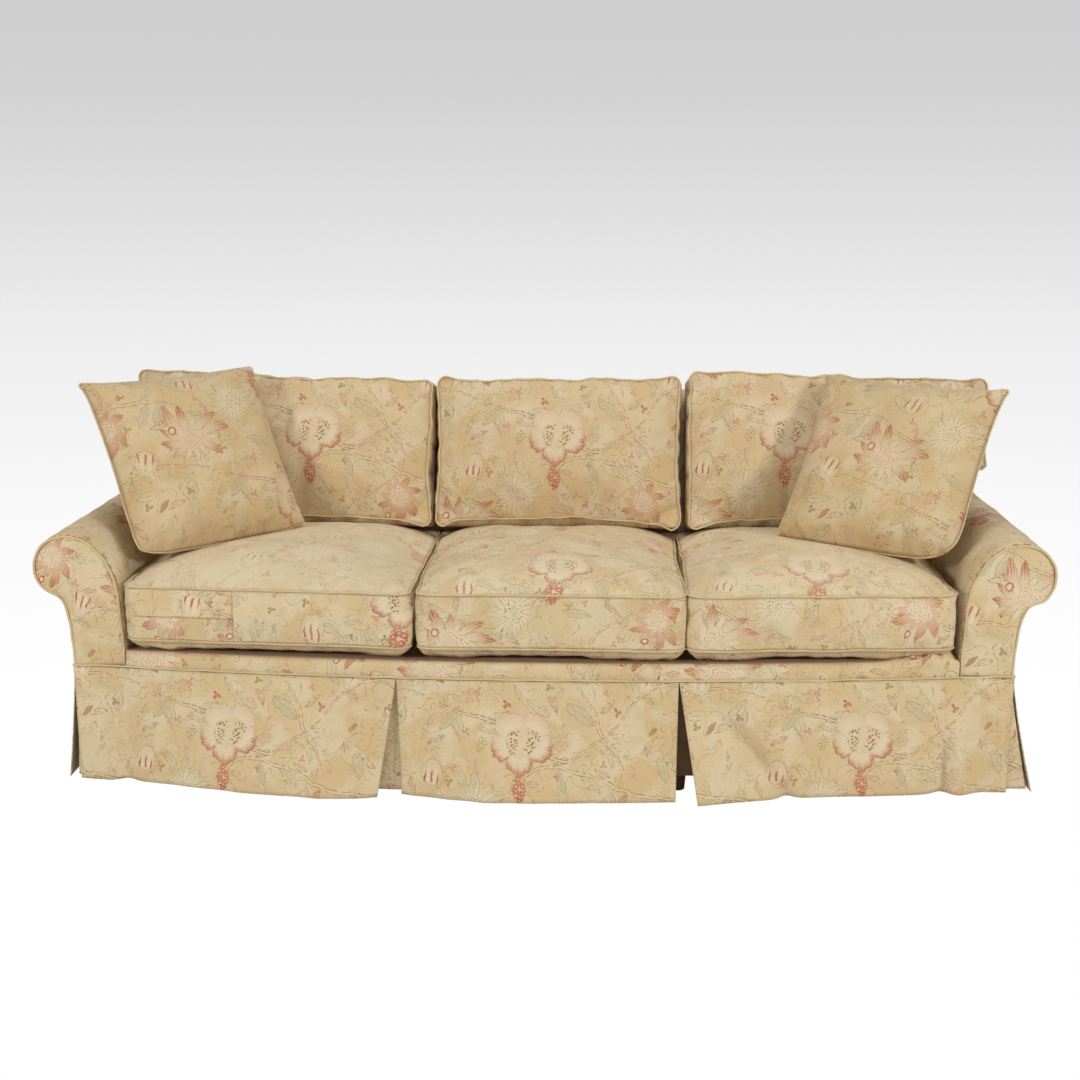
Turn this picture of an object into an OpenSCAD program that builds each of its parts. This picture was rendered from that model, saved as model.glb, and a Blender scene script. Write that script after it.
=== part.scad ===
// Three-seat skirted sofa with rolled arms, loose cushions and two throw pillows
// Millimetres. X runs along the sofa, +Y to its back, +Z up, with the floor at Z = 0.

/* [Overall] */
// Width over the two rolled arms
overall_width = 2340; // [2200:10:2500]
// Width of an arm, from the seat to the outside of its roll
arm_width = 203; // [195:1:210]
// Distance from the origin to the face of the arms
arm_front = 370; // [350:1:400]
// Distance from the origin to the outside back
back_depth = 460; // [445:1:480]
// How far the middle of the front stands ahead of the arms
front_bow = 66; // [40:1:90]
// How far the bowed front falls back from its middle to the arms
bow_fall = 57.72; // [40:0.5:66]

/* [Arms] */
// Height of the arms
arm_height = 610; // [580:1:640]
// Radius of the roll on its outer side
roll_radius = 79; // [70:1:88]
// Radius of the roll on its inner side
shoulder_radius = 100; // [90:1:108]
// Thickness of the cloth covers
cloth = 3; // [2:0.5:4]
// Thickness of the padding on the arms
arm_pad = 24; // [15:1:30]

/* [Skirt] */
// Height of the welt that carries the skirt
skirt_top = 292; // [270:1:310]
// Gap between the hem and the floor
hem_height = 12; // [8:1:25]
// Diameter of the welt cord
welt = 6; // [5:0.5:8]
// Where the left kick pleat meets the welt
left_pleat = -324; // [-400:1:-280]
// Where the right kick pleat meets the welt
right_pleat = 324; // [280:1:400]
// Width of a kick pleat's opening at the hem
pleat_opening = 46; // [20:1:70]

/* [Seat] */
// Top of the sprung deck
deck_top = 331; // [315:1:345]
// Depth of the seat cushions, front to back
seat_depth = 634; // [600:1:650]
// Height of the seat cushions' boxing
seat_boxing = 132; // [110:1:150]
// Crown of the seat cushions' top
seat_crown = 48; // [30:1:60]
// Sag of the seat cushions' underside, between the deck and the lower welt
seat_sag = 29; // [15:1:35]
// Joint between the left and the middle seat cushion
seat_joint_left = -282; // [-340:1:-240]
// Joint between the middle and the right seat cushion
seat_joint_right = 338; // [300:1:380]
// Gap between neighbouring cushions
cushion_gap = 8; // [6:1:14]
// Gap between the outer seat cushions and the arms
arm_gap = 14; // [10:1:24]

/* [Back] */
// Lean of the back cushions from upright, in degrees
rake = 16; // [12:0.5:18]
// Height of the frame's back
frame_height = 845; // [820:1:860]
// How far the frame's back reaches out over each arm
back_overhang = 78; // [60:1:90]
// Thickness of the back cushions' boxing
back_boxing = 150; // [130:1:165]
// Crown of the back cushions' front
back_crown = 34; // [20:1:45]
// Crown of the back cushions' rear
back_rear_crown = 16; // [8:1:20]
// Where the outer back cushions step out over the arms, along their height
ear_step = 146; // [138:1:170]

/* [Loose pillows] */
// Side of a throw pillow
pillow_side = 472; // [400:1:480]
// Thickness of a throw pillow at its middle
pillow_thickness = 150; // [110:2:170]

/* [Frame] */
// Thickness of the frame boards
board = 22; // [18:1:25]
// Height of the feet
foot_height = 60; // [50:1:70]
// Height of the main rails
rail_height = 225; // [200:1:227]
// Number of zigzag springs
spring_count = 9; // [7:1:11]
// Width of a zigzag spring
spring_width = 52; // [40:1:60]

/* [Hidden] */

$fn = 64;
fit = 0.4;              // running gap between soft pieces that touch
big = 3000;             // longer than anything that is cut
wall = 4;               // cloth and lining of a loose cushion's cover
roll_x = overall_width / 2 - roll_radius;
inside = overall_width / 2 - arm_width;
trunk_out = roll_x - 0.6;
rail_top = foot_height + rail_height;
rail_out = trunk_out - 6.4;
stump_front = -arm_front + 37;
bow_front = -arm_front - front_bow;
bow_radius = inside * inside / (2 * bow_fall);
stretcher_x = 0.31 * inside + 30;
seat_rear = 198;
seat_low = deck_top + fit + seat_sag;
seat_top = seat_low + seat_boxing;
back_half_width = inside + back_overhang;
deck_rear = seat_rear - 1;
spring_rail_y = seat_rear + 8;
back_mid_y = seat_rear - 41;
back_mid_z = seat_top + 23.4;
back_pad = 30;          // cloth and padding in front of the back's boards
lean_gap = back_boxing / 2 + back_rear_crown + 0.3;

// Cloths' colours: straw ground, paler pillows, bare timber, steel wire and black lining
straw = [0.86, 0.76, 0.56];
pale_straw = [0.9, 0.82, 0.64];
timber = [0.78, 0.62, 0.42];
wire = [0.45, 0.46, 0.48];
wadding = [0.95, 0.94, 0.9];
lining = [0.12, 0.12, 0.13];

// Plan of the base, grown outwards by g: a box between the arm faces and the outside
// back, with the bowed deck front standing ahead of it
module bow_plan(half, g, rear) {
    intersection() {
        translate([0, bow_front - g + bow_radius + g]) circle(r = bow_radius + g, $fn = 1440);
        translate([-half, bow_front - g - 1]) square([2 * half, rear - bow_front + g + 1]);
    }
}

module base_plan(g) {
    translate([-trunk_out - g, -arm_front - g])
        square([2 * (trunk_out + g), arm_front + back_depth + 2 * g]);
    bow_plan(inside + g, g, 0);
}

// Outline of a rolled arm across the sofa, on the right side, grown by g
module arm_outline(g, low) {
    translate([roll_x, arm_height - roll_radius]) circle(r = roll_radius + g);
    intersection() {
        translate([roll_x, arm_height - shoulder_radius]) circle(r = shoulder_radius + g);
        translate([roll_x - big, low]) square([big, big]);
    }
    neck = arm_height - roll_radius * 1.9;
    polygon([[inside - g, low], [trunk_out + g, low],
        [trunk_out + 3 + g, neck - 62], [trunk_out + 9 + g, neck - 24],
        [trunk_out + 24 + g, neck + 8], [roll_x, arm_height - roll_radius],
        [roll_x - 30, arm_height - shoulder_radius - 5],
        [inside + 46 - g, arm_height - 52], [inside + 24 - g, arm_height - 70],
        [inside + 14 - g, arm_height - 96], [inside + 10 - g, arm_height - shoulder_radius - 12],
        [inside + 5 - g, arm_height - shoulder_radius - 50]]);
}

// The outline drawn along the sofa's depth, from y0 to y1, on one side of the sofa
module arm_run(side, y0, y1) {
    mirror([side < 0 ? 1 : 0, 0, 0])
        translate([0, y1, 0]) rotate([90, 0, 0]) linear_extrude(y1 - y0) children();
}

// A run of cloth or padding between two outlines of the arm
module arm_shell(side, y0, y1, outer, inner, low) {
    arm_run(side, y0, y1) difference() {
        arm_outline(outer, low);
        arm_outline(inner, low - 1);
    }
}

// Timber frame. The front rail is a board bent to the bow, in short straight facets.
module front_rail() {
    facets = 24;
    stations = [for (i = [0:facets]) rail_out * (2 * i / facets - 1)];
    function face(x, off) = [x, bow_front + off + x * x / (2 * bow_radius)];
    color(timber) translate([0, 0, foot_height]) linear_extrude(rail_height)
        polygon(concat([for (x = stations) face(x, 9)], [for (x = stations) face(-x, 9 + board)]));
}

module back_rail() {
    color(timber) translate([-rail_out, back_depth - back_pad, foot_height])
        cube([2 * rail_out, board, rail_height]);
}

module side_rail(side) {
    start = stump_front + 3;
    color(timber) translate([side > 0 ? rail_out - board : -rail_out, start, foot_height])
        cube([board, back_depth - back_pad - start, rail_height]);
}

module stretchers() {
    start = bow_front + pow(stretcher_x, 2) / (2 * bow_radius) + 9 + board + 0.6;
    color(timber) for (x = [-stretcher_x, stretcher_x])
        translate([x - board / 2, start, foot_height])
            cube([board, back_depth - back_pad - start, rail_height - 85]);
}

// Rail under the inside back that takes the rear ends of the springs
module spring_rail() {
    color(timber) translate([-rail_out + board, spring_rail_y, rail_top - 85])
        cube([2 * (rail_out - board), board, 85]);
}

module corner_blocks() {
    size = 60;
    reach = rail_out - board;
    color(timber) for (side = [-1, 1], end = [-1, 1]) {
        y = end < 0 ? stump_front + 20 : back_depth - 50;
        translate([side * reach, y, foot_height]) linear_extrude(rail_height)
            polygon([[0, 0], [-side * size, 0], [0, -end * size]]);
    }
}

// Turned feet, narrower at the floor
module feet() {
    spots = [[rail_out - board - 22, stump_front + 42], [rail_out - board - 22, back_depth - 72],
        [stretcher_x, -arm_front + 20], [stretcher_x, back_depth - 72]];
    color(timber) for (side = [-1, 1], p = spots)
        translate([side * p[0], p[1], 0])
            cylinder(h = foot_height, r1 = 17, r2 = 22);
}

// Shaped boards that give the arm its roll, one at each end
module arm_stumps(side) {
    g = -cloth - arm_pad - 0.6;
    thick = 20;
    color(timber) for (y = [stump_front, back_depth - back_pad - thick])
        arm_run(side, y, y + thick) {
            arm_outline(g, rail_top);
            translate([inside - g, foot_height])
                square([rail_out - board - inside + g, rail_height]);
        }
}

// Rails of one arm: the rounded one inside the roll and the tacking rail by the seat
module arm_rails(side) {
    y0 = stump_front + 20;
    y1 = back_depth - 50;
    color(timber) {
        arm_run(side, y0, y1)
            translate([roll_x, arm_height - roll_radius])
                circle(r = roll_radius - cloth - arm_pad - 10);
        arm_run(side, y0, y1)
            translate([inside + cloth + arm_pad + 4, deck_top + 30]) square([board, 60]);
    }
}

// Inside back: a raked plane that the back cushions lean on
function inside_back_y(z, g) = back_mid_y + lean_gap * cos(rake) - g / cos(rake)
    + (z - back_mid_z + lean_gap * sin(rake)) * tan(rake);

// Side view of the back, grown by g, between two heights: raked above the deck
// and upright below the deck, where it passes behind the cushions
module back_outline(g, low, high) {
    top = min(high, frame_height + g);
    foot = max(low, deck_top + 1);
    bevel = (back_depth + g - inside_back_y(top, g)) / 5;
    polygon([[inside_back_y(foot, g), foot], [inside_back_y(foot, g), low],
        [back_depth + g, low], [back_depth + g, top - bevel],
        [back_depth + g - bevel, top], [inside_back_y(top, g) + bevel, top],
        [inside_back_y(top - bevel, g), top - bevel]]);
}

module back_run(half, g, low, high) {
    translate([-half, 0, 0]) rotate([90, 0, 90]) linear_extrude(2 * half)
        back_outline(g, low, high);
}

// The back is narrow between the arms and spreads over them above
module back_form(g, low) {
    back_run(inside - 1 + g, g, low, frame_height);
    back_run(back_half_width + g, g, arm_height + 1.6 - g, frame_height);
}

module back_stiles() {
    color(timber) for (side = [-1, 1], x = [(stretcher_x - 30) * side, (inside - 62) * side])
        intersection() {
            translate([x - board / 2, 0, foot_height]) cube([board, back_depth - back_pad, big]);
            back_run(inside, -back_pad - 0.2, foot_height, frame_height);
        }
}

module back_top_rail() {
    color(timber) translate([-back_half_width + 34, back_depth - back_pad, frame_height - 130])
        cube([2 * (back_half_width - 34), board, 90]);
}

module back_tack_rail() {
    color(timber) translate([-inside + 40, back_depth - back_pad, arm_height - 120])
        cube([2 * (inside - 40), board, 60]);
}

// Zigzag springs: one wire that crosses from side to side, with round turns
wire_d = 3.6;
spring_pitch = 36;
spring_start = bow_front + 56;
spring_turns = floor((spring_rail_y + 10 - spring_start) / spring_pitch);
function spring_x(i) = (i - (spring_count - 1) / 2) * (2 * inside - 120) / spring_count;
function spring_front(i) = spring_start + pow(spring_x(i), 2) / (2 * bow_radius);

module zigzag() {
    half = spring_width / 2 - spring_pitch / 4;
    steps = 5;
    radius = spring_pitch / 2;
    function turn(k, r) = [for (s = [0:steps]) let(a = -90 + 180 * s / steps,
        side = k % 2 == 0 ? 1 : -1)
        [side * (half + r * cos(a) * 0.5), k * spring_pitch + radius + (r * sin(a))]];
    function edge(sign) = [for (k = [0:spring_turns - 1])
        each turn(k, radius + (k % 2 == 0 ? sign : -sign) * wire_d / 2)];
    path_a = edge(1);
    path_b = edge(-1);
    polygon(concat(path_a, [for (i = [len(path_b) - 1:-1:0]) path_b[i]]));
}

module seat_springs() {
    color(wire) for (i = [0:spring_count - 1])
        translate([spring_x(i), spring_front(i), rail_top + 2]) linear_extrude(wire_d) zigzag();
}

// Clips on the front rail and on the rear one hold the ends of the springs
module spring_clips() {
    low = rail_top;
    color(wire) for (i = [0:spring_count - 1]) {
        front_y = bow_front + 9 + pow(spring_x(i), 2) / (2 * bow_radius) + 1;
        for (y = [front_y, spring_rail_y])
            translate([spring_x(i) - 12, y, low]) cube([24, board - 2, 1.6]);
        for (end = [[front_y + board - 2, spring_front(i) - 0.3],
                [spring_rail_y - 12, spring_rail_y]])
            translate([spring_x(i) - 12, end[0], low]) cube([24, end[1] - end[0], 1.6]);
    }
}

// Rubber webbing stretched up the inside back
module back_webbing() {
    off = back_pad - 1.8;
    color(lining) for (i = [-3:3])
        let(x = i * 2 * inside / 8 + inside / 24)
        translate([x - 30, 0, 0]) rotate([90, 0, 90]) linear_extrude(60)
            polygon([[inside_back_y(deck_top + 10, -off), deck_top + 10],
                [inside_back_y(deck_top + 10, -off - 1.8), deck_top + 10],
                [inside_back_y(frame_height - 60, -off - 1.8), frame_height - 60],
                [inside_back_y(frame_height - 60, -off), frame_height - 60]]);
}

// Padding
module deck_pad() {
    color(wadding) translate([0, 0, rail_top + 2 + wire_d + 0.4])
        linear_extrude(deck_top - cloth - 0.4 - (rail_top + 2 + wire_d + 0.4))
            bow_plan(inside - 7, -cloth - 0.6, deck_rear - cloth - 1);
}

module arm_padding(side) {
    low = rail_top + 0.4;
    color(wadding) {
        arm_shell(side, stump_front - 0.3, back_depth - 12, -cloth - 0.4, -cloth - arm_pad, low);
        arm_run(side, -arm_front + cloth + 0.4, stump_front - 0.3)
            arm_outline(-cloth - 0.4, skirt_top + 1);
    }
}

module back_padding() {
    color(wadding) difference() {
        back_form(-cloth - 0.4, rail_top + 50);
        back_form(-back_pad + 2, rail_top + 45);
        translate([-big / 2, back_depth - 31, 0]) cube([big, 60, frame_height - 35]);
    }
}

// Fixed cloth
module dust_cover() {
    color(lining) translate([0, 0, foot_height - 1]) linear_extrude(0.9) difference() {
        translate([-rail_out + 2, -arm_front + 42])
            square([2 * rail_out - 4, arm_front + back_depth - 54]);
        for (side = [-1, 1], y = [stump_front + 42, back_depth - 72])
            translate([side * (rail_out - board - 22), y]) circle(r = 24);
        for (side = [-1, 1], y = [-arm_front + 20, back_depth - 72])
            translate([side * stretcher_x, y]) circle(r = 24);
    }
}

module deck_cover() {
    low = rail_top + 2 + wire_d + 0.4;
    color(straw) difference() {
        translate([0, 0, low]) linear_extrude(deck_top - low)
            bow_plan(inside - 1, 0, deck_rear);
        translate([0, 0, low - 1]) linear_extrude(deck_top - low + 1 - cloth)
            bow_plan(inside - 1 - cloth, -cloth, deck_rear - cloth);
    }
}

module arm_cover(side) {
    front = -arm_front + cloth + 0.3;
    color(straw) difference() {
        arm_run(side, front, back_depth - 0.5) arm_outline(0, skirt_top);
        arm_run(side, front - 1, back_depth - 0.5 - cloth) arm_outline(-cloth, skirt_top - 1);
    }
}

module arm_front(side) {
    color(straw) arm_run(side, -arm_front, -arm_front + cloth) arm_outline(-0.5, skirt_top);
}

// The welt round an arm's front, in two steps that round its outer edge
module arm_welt(side) {
    color(pale_straw) {
        arm_shell(side, -arm_front - welt / 2, -arm_front - 0.3, 0, -welt, skirt_top + welt + 1);
        arm_shell(side, -arm_front - welt / 2 - 1.5, -arm_front - welt / 2, -1.2, -welt + 1.2,
            skirt_top + welt + 1);
    }
}

module back_cover() {
    color(straw) difference() {
        back_form(0, skirt_top);
        back_form(-cloth, skirt_top - 1);
    }
}

module skirt_welt() {
    color(pale_straw) translate([0, 0, skirt_top]) {
        linear_extrude(welt) difference() {
            base_plan(welt);
            base_plan(0.4);
        }
    }
}

// Skirt
// A panel of cloth is a grid of points on its inner face, thickened outwards. Its fold
// list holds pairs: how far along the panel, and how far the hem stands out there.
skirt_in = 0.8;
function bow_line(x) = min(-arm_front - skirt_in, bow_front - skirt_in + x * x / (2 * bow_radius));
function fold_out(folds, u, t) = lookup(u, folds) * pow(t, 1.25);
function sheet_faces(nu, nt) = let(w = nu + 1, size = (nu + 1) * (nt + 1)) concat(
    [for (j = [0:nt - 1], i = [0:nu - 1]) let(a = j * w + i)
        each [[a, a + 1, a + w + 1], [a, a + w + 1, a + w]]],
    [for (j = [0:nt - 1], i = [0:nu - 1]) let(a = size + j * w + i)
        each [[a, a + w + 1, a + 1], [a, a + w, a + w + 1]]],
    [for (i = [0:nu - 1]) each [[i, size + i, size + i + 1], [i, size + i + 1, i + 1]]],
    [for (i = [0:nu - 1]) let(a = nt * w + i)
        each [[a, a + 1, size + a + 1], [a, size + a + 1, size + a]]],
    [for (j = [0:nt - 1]) let(a = j * w)
        each [[a, a + w, size + a + w], [a, size + a + w, size + a]]],
    [for (j = [0:nt - 1]) let(a = j * w + nu)
        each [[a, size + a + w, a + w], [a, size + a, size + a + w]]]);

// A front panel from x0 to x1 at the welt and from h0 to h1 at the hem
module front_panel(x0, x1, h0, h1, folds, nu) {
    nt = 3;
    function point(u, t, out) = let(x = x0 + (x1 - x0) * u + ((h0 - x0) * (1 - u) + (h1 - x1) * u) * t)
        [x, bow_line(x0 + (x1 - x0) * u) - fold_out(folds, u, t) - out,
            skirt_top - 0.5 - (skirt_top - 0.5 - hem_height) * t];
    points = [for (out = [0, cloth], j = [0:nt], i = [0:nu]) point(i / nu, j / nt, out)];
    color(straw) polyhedron(points, sheet_faces(nu, nt));
}

corner = trunk_out + skirt_in + cloth;
half_pleat = pleat_opening / 2;
left_folds = [[0, 3], [0.07, 8], [0.12, -14], [0.2, 4], [0.34, 16], [0.6, 40], [0.82, 50], [0.92, 44], [1, 30]];
middle_folds = [[0, 6], [0.06, 16], [0.3, 46], [0.52, 42], [0.8, 36], [1, 28]];
right_folds = [[0, 42], [0.06, 40], [0.16, 12], [0.3, 14], [0.5, 2], [0.66, 5], [0.74, -12], [0.8, 6], [1, 2]];

module skirt_front_left() {
    front_panel(-corner, left_pleat, -corner, left_pleat - pleat_opening, left_folds, 17);
}

module skirt_front_middle() {
    front_panel(left_pleat + 1, right_pleat - 1, left_pleat + 8, right_pleat - 4, middle_folds, 14);
}

module skirt_front_right() {
    front_panel(right_pleat, corner, right_pleat + pleat_opening, corner, right_folds, 17);
}

// A side panel from the front corner to the rear one, spread most at its front
module side_panel(side, front_flare, rear_flare) {
    nu = 8;
    nt = 3;
    y0 = -arm_front + 2;
    y1 = back_depth - 1;
    function point(u, t, out) = [
        trunk_out + skirt_in + out + (rear_flare + (front_flare - rear_flare) * pow(1 - u, 3)) * pow(t, 1.2),
        y0 + (y1 - y0) * u, skirt_top - 0.5 - (skirt_top - 0.5 - hem_height) * t];
    points = [for (out = [0, cloth], j = [0:nt], i = [0:nu]) point(i / nu, j / nt, out)];
    color(straw) mirror([side < 0 ? 1 : 0, 0, 0]) polyhedron(points, sheet_faces(nu, nt));
}

module skirt_back() {
    nu = 12;
    nt = 3;
    function point(u, t, out) = [corner - 2 * corner * u,
        back_depth + skirt_in + out + (14 + 6 * cos(u * 720)) * pow(t, 1.2),
        skirt_top - 0.5 - (skirt_top - 0.5 - hem_height) * t];
    points = [for (out = [0, cloth], j = [0:nt], i = [0:nu]) point(i / nu, j / nt, out)];
    color(straw) polyhedron(points, sheet_faces(nu, nt));
}

// Flat pieces behind the pleats: the left kick pleat and the two front corners
module pleat_underlays() {
    low = hem_height + 4;
    y = bow_front + 9 + pow(left_pleat + 50, 2) / (2 * bow_radius) - 0.3 - cloth;
    color(straw) {
        translate([left_pleat - 70, y, low]) cube([120, cloth, skirt_top - 1 - low - 4]);
        for (side = [-1, 1])
            translate([side * (corner - 38) - 32, -arm_front + 4.7, low])
                cube([64, cloth, skirt_top - 5 - low]);
    }
}

// Loose cushions
// A skin runs through rings with the same number of points, with a pole at each end
function skin_faces(n, m) = concat(
    [for (i = [0:n - 1]) [0, 1 + i, 1 + (i + 1) % n]],
    [for (j = [0:m - 2], i = [0:n - 1]) let(a = 1 + j * n, b = a + n, k = (i + 1) % n)
        each [[a + i, b + i, b + k], [a + i, b + k, a + k]]],
    [for (i = [0:n - 1]) let(a = 1 + (m - 1) * n) [1 + m * n, a + (i + 1) % n, a + i]]);

module skin(rings, low, high) {
    points = concat([low], [for (r = rings) each r], [high]);
    polyhedron(points, skin_faces(len(rings[0]), len(rings)));
}

// Rounded outline through corners that run counter-clockwise, from the lower left one.
// Between its corners the first side pulls in by rest and the others by pull, and each
// side gets the number of points that counts holds.
function toward(a, b, d) = a + (b - a) / norm(b - a) * d;
function left_of(a, b) = let(d = (b - a) / norm(b - a)) [-d[1], d[0]];
function corner_at(a, p, b, r) = [toward(p, a, r), p + ((a - p) / norm(a - p) + (b - p) / norm(b - p)) * r * 0.3,
    toward(p, b, r)];
function side_at(a, b, m, pull) = [for (i = [1:1:m]) let(t = i / (m + 1))
    a + (b - a) * t + left_of(a, b) * pull * 4 * t * (1 - t)];
function outline(corners, r, counts, pull, rest) = let(n = len(corners)) [for (i = [0:n - 1])
    each concat(corner_at(corners[(i + n - 1) % n], corners[i], corners[(i + 1) % n], r),
        side_at(corners[i], corners[(i + 1) % n], counts[i], i == 0 ? rest : pull))];

// The outline shrunk to a share s about the centre c, grown by g, at the height z
function ring(shape, c, s, g, z) = [for (p = shape) let(d = p - c, q = c + d * s + d / norm(d) * g)
    [q[0], q[1], z]];
function crown_at(crown, s, power) = crown * (1 - pow(s, power));

// The middle line of the boxing: it draws in, but for the side that carries the cushion,
// at rest or lower, which is flush with its welts
function waist(shape, c, pull, rest) = [for (p = shape)
    each ring([p], c, 1, p[1] <= rest ? welt * 0.35 : -pull, 0)];

// Outer skin of a boxed cushion: flat underside, lower welt, boxing that draws in, upper
// welt and a crown over the outline top. Zero height is the middle of the boxing.
module boxed_skin(shape, top, c, boxing, crown, sag, pull, power, rest) {
    h = boxing / 2;
    w = welt / 2;
    rings = [ring(shape, c, 0.88, 0, -h - sag), ring(shape, c, 0.975, 0, -h - sag * 0.7),
        ring(shape, c, 1, -1.5, -h - w * 0.8), ring(shape, c, 1, w * 0.7, -h), ring(shape, c, 1, -1.5, -h + w),
        waist(shape, c, pull, rest),
        ring(shape, c, 1, -1.5, h - w), ring(shape, c, 1, w * 0.7, h), ring(shape, c, 1, -1.5, h + w * 0.8),
        each [for (s = [0.9, 0.74, 0.5, 0.24]) ring(top, c, s, 0, h + crown_at(crown, s, power))]];
    skin(rings, [c[0], c[1], -h - sag], [c[0], c[1], h + crown]);
}

// Filling of a boxed cushion, g inside the outer skin all round
module boxed_core(shape, c, boxing, crown, sag, pull, power, g) {
    h = boxing / 2;
    side = -pull - g - 1;
    rings = [ring(shape, c, 0.86, -g, -h - sag + g), ring(shape, c, 1, side, -h + g + 2),
        ring(shape, c, 1, side, h - g - 2),
        ring(shape, c, 0.72, -g, h + crown_at(crown, 0.72, power) - g - 2)];
    skin(rings, [c[0], c[1], -h - sag + g], [c[0], c[1], h + crown - g - 1]);
}

// Seat cushions: each front edge is a chord of the bowed front
seat_power = 3.2;
seat_pull = 5;
seat_outer = inside - arm_gap;
seat_edges = [[-seat_outer - 5, seat_joint_left - cushion_gap / 2],
    [seat_joint_left + cushion_gap / 2, seat_joint_right - cushion_gap / 2],
    [seat_joint_right + cushion_gap / 2, seat_outer - 6]];
function seat_front(x) = seat_rear - seat_depth + x * x / (2.7 * bow_radius);
function seat_corners(i) = let(a = seat_edges[i][0], b = seat_edges[i][1])
    [[a, seat_front(a)], [b, seat_front(b)], [b, seat_rear], [a, seat_rear]];
function seat_shape(i, pull = 7) = outline(seat_corners(i), 22, [2, 3, 2, 3], pull, pull);
function middle(corners) = let(n = len(corners)) [for (k = [0, 1])
    (min([for (p = corners) p[k]]) + max([for (p = corners) p[k]])) / 2];

module seat_place() {
    translate([0, 0, seat_low + seat_boxing / 2]) children();
}

module seat_core(i, g) {
    boxed_core(seat_shape(i), middle(seat_corners(i)), seat_boxing, seat_crown, seat_sag, seat_pull,
        seat_power, g);
}

module seat_cover(i) {
    color(straw) difference() {
        seat_place() boxed_skin(seat_shape(i), seat_shape(i, 0), middle(seat_corners(i)),
            seat_boxing, seat_crown, seat_sag, seat_pull, seat_power, -big);
        seat_place() seat_core(i, wall);
        if (i == 0) zip_channel();
    }
}

module seat_foam(i) {
    color(wadding) seat_place() seat_core(i, wall + fit);
}

// Back cushions lean on the inside back. The outer ones step out over the arms.
back_edges = [[-seat_outer + 2, -300], [-286, 345], [370, seat_outer - 2]];
ears = [-inside - 108, 0, inside + 164];
back_heights = [[402, 372], [380, 383], [402, 384]];
back_low = -2.8;
back_power = 3;
function back_corners(i) = let(a = back_edges[i][0], b = back_edges[i][1], h = back_heights[i], e = ears[i])
    e < 0 ? [[a, back_low], [b, back_low], [b, h[1]], [e, h[0]], [e, ear_step], [a, ear_step]] :
    e > 0 ? [[a, back_low], [b, back_low], [b, ear_step], [e, ear_step], [e, h[1]], [a, h[0]]] :
    [[a, back_low], [b, back_low], [b, h[1]], [a, h[0]]];
function back_shape(i) = ears[i] == 0 ? outline(back_corners(i), 22, [3, 2, 3, 2], 7, 0) :
    outline(back_corners(i), 20, ears[i] < 0 ? [2, 2, 2, 1, 0, 0] : [2, 0, 0, 1, 2, 2], 5, 0);
function back_centre(i) = ears[i] == 0 ? middle(back_corners(i)) :
    [(back_edges[i][0] + back_edges[i][1]) / 2, back_heights[i][0] * 0.54];

module back_place() {
    translate([0, back_mid_y, back_mid_z]) rotate([90 - rake, 0, 0]) children();
}

module back_core(i, g) {
    boxed_core(back_shape(i), back_centre(i), back_boxing, back_crown, back_rear_crown, 5, back_power, g);
}

module back_cushion_cover(i) {
    color(straw) back_place() difference() {
        boxed_skin(back_shape(i), back_shape(i), back_centre(i), back_boxing, back_crown,
            back_rear_crown, 5, back_power, back_low + 1);
        back_core(i, wall);
    }
}

module back_cushion_fill(i) {
    color(wadding) back_place() back_core(i, wall + fit);
}

// Throw pillows: a knife edge with a welt, drawn in between soft corners. Each stands on
// a seat cushion and leans into the corner between the arm and the back.
half_side = pillow_side / 2;
pillow_poses = [
    [[-inside + 113, back_mid_y - 241, 0.8445 * half_side], [-31, -2, 40]],
    [[inside - 129, back_mid_y - 243, 0.815 * half_side], [-35, 1, -32]]];
pillow_shape = outline([[-half_side, -half_side], [half_side, -half_side], [half_side, half_side],
    [-half_side, half_side]], 20, [3, 3, 3, 3], 17, 0);
function pillow_crown(s) = (pillow_thickness / 2 - welt / 2) * pow(1 - pow(s, 2.6), 0.75);

module pillow_skin() {
    w = welt / 2;
    rings = [for (s = [0.3, 0.58, 0.8, 0.94]) ring(pillow_shape, [0, 0], s, 0, -w - pillow_crown(s))];
    edge = [ring(pillow_shape, [0, 0], 1, -w, -w), ring(pillow_shape, [0, 0], 1, 0, 0),
        ring(pillow_shape, [0, 0], 1, -w, w)];
    upper = [for (s = [0.94, 0.8, 0.58, 0.3]) ring(pillow_shape, [0, 0], s, 0, w + pillow_crown(s))];
    skin(concat(rings, edge, upper), [0, 0, -pillow_thickness / 2], [0, 0, pillow_thickness / 2]);
}

module pillow_core(g) {
    rings = [for (k = [-1, 1], s = k < 0 ? [0.58, 0.86] : [0.86, 0.58])
        ring(pillow_shape, [0, 0], s, -g, k * (pillow_crown(s) - g))];
    skin(rings, [0, 0, -pillow_thickness / 2 + g + 2], [0, 0, pillow_thickness / 2 - g - 2]);
}

module pillow_place(i) {
    pose = pillow_poses[i];
    turn = pose[1];
    translate(pose[0] + [0, 0, seat_top + seat_crown]) rotate([0, 0, turn[2]])
        rotate([turn[0], 0, 0]) rotate([0, turn[1], 0]) rotate([90, 0, 0]) children();
}

module pillow_cover(i) {
    color(pale_straw) pillow_place(i) difference() {
        pillow_skin();
        pillow_core(wall);
    }
}

module pillow_fill(i) {
    color(wadding) pillow_place(i) pillow_core(wall + fit);
}

// The left seat cushion lies turned, so the end of its zip is in the front boxing, in a
// channel that the placket covers
zip_line = ring(seat_shape(0), middle(seat_corners(0)), 1, -seat_pull, 0);
zip_corner = zip_line[2];
zip_end = zip_line[3];
zip_length = norm(zip_end - zip_corner);
slider_thick = 3;

module zip_place() {
    run = zip_end - zip_corner;
    translate([zip_corner[0], zip_corner[1], seat_low + seat_boxing / 2])
        rotate([0, 0, atan2(run[1], run[0])]) children();
}

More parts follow.
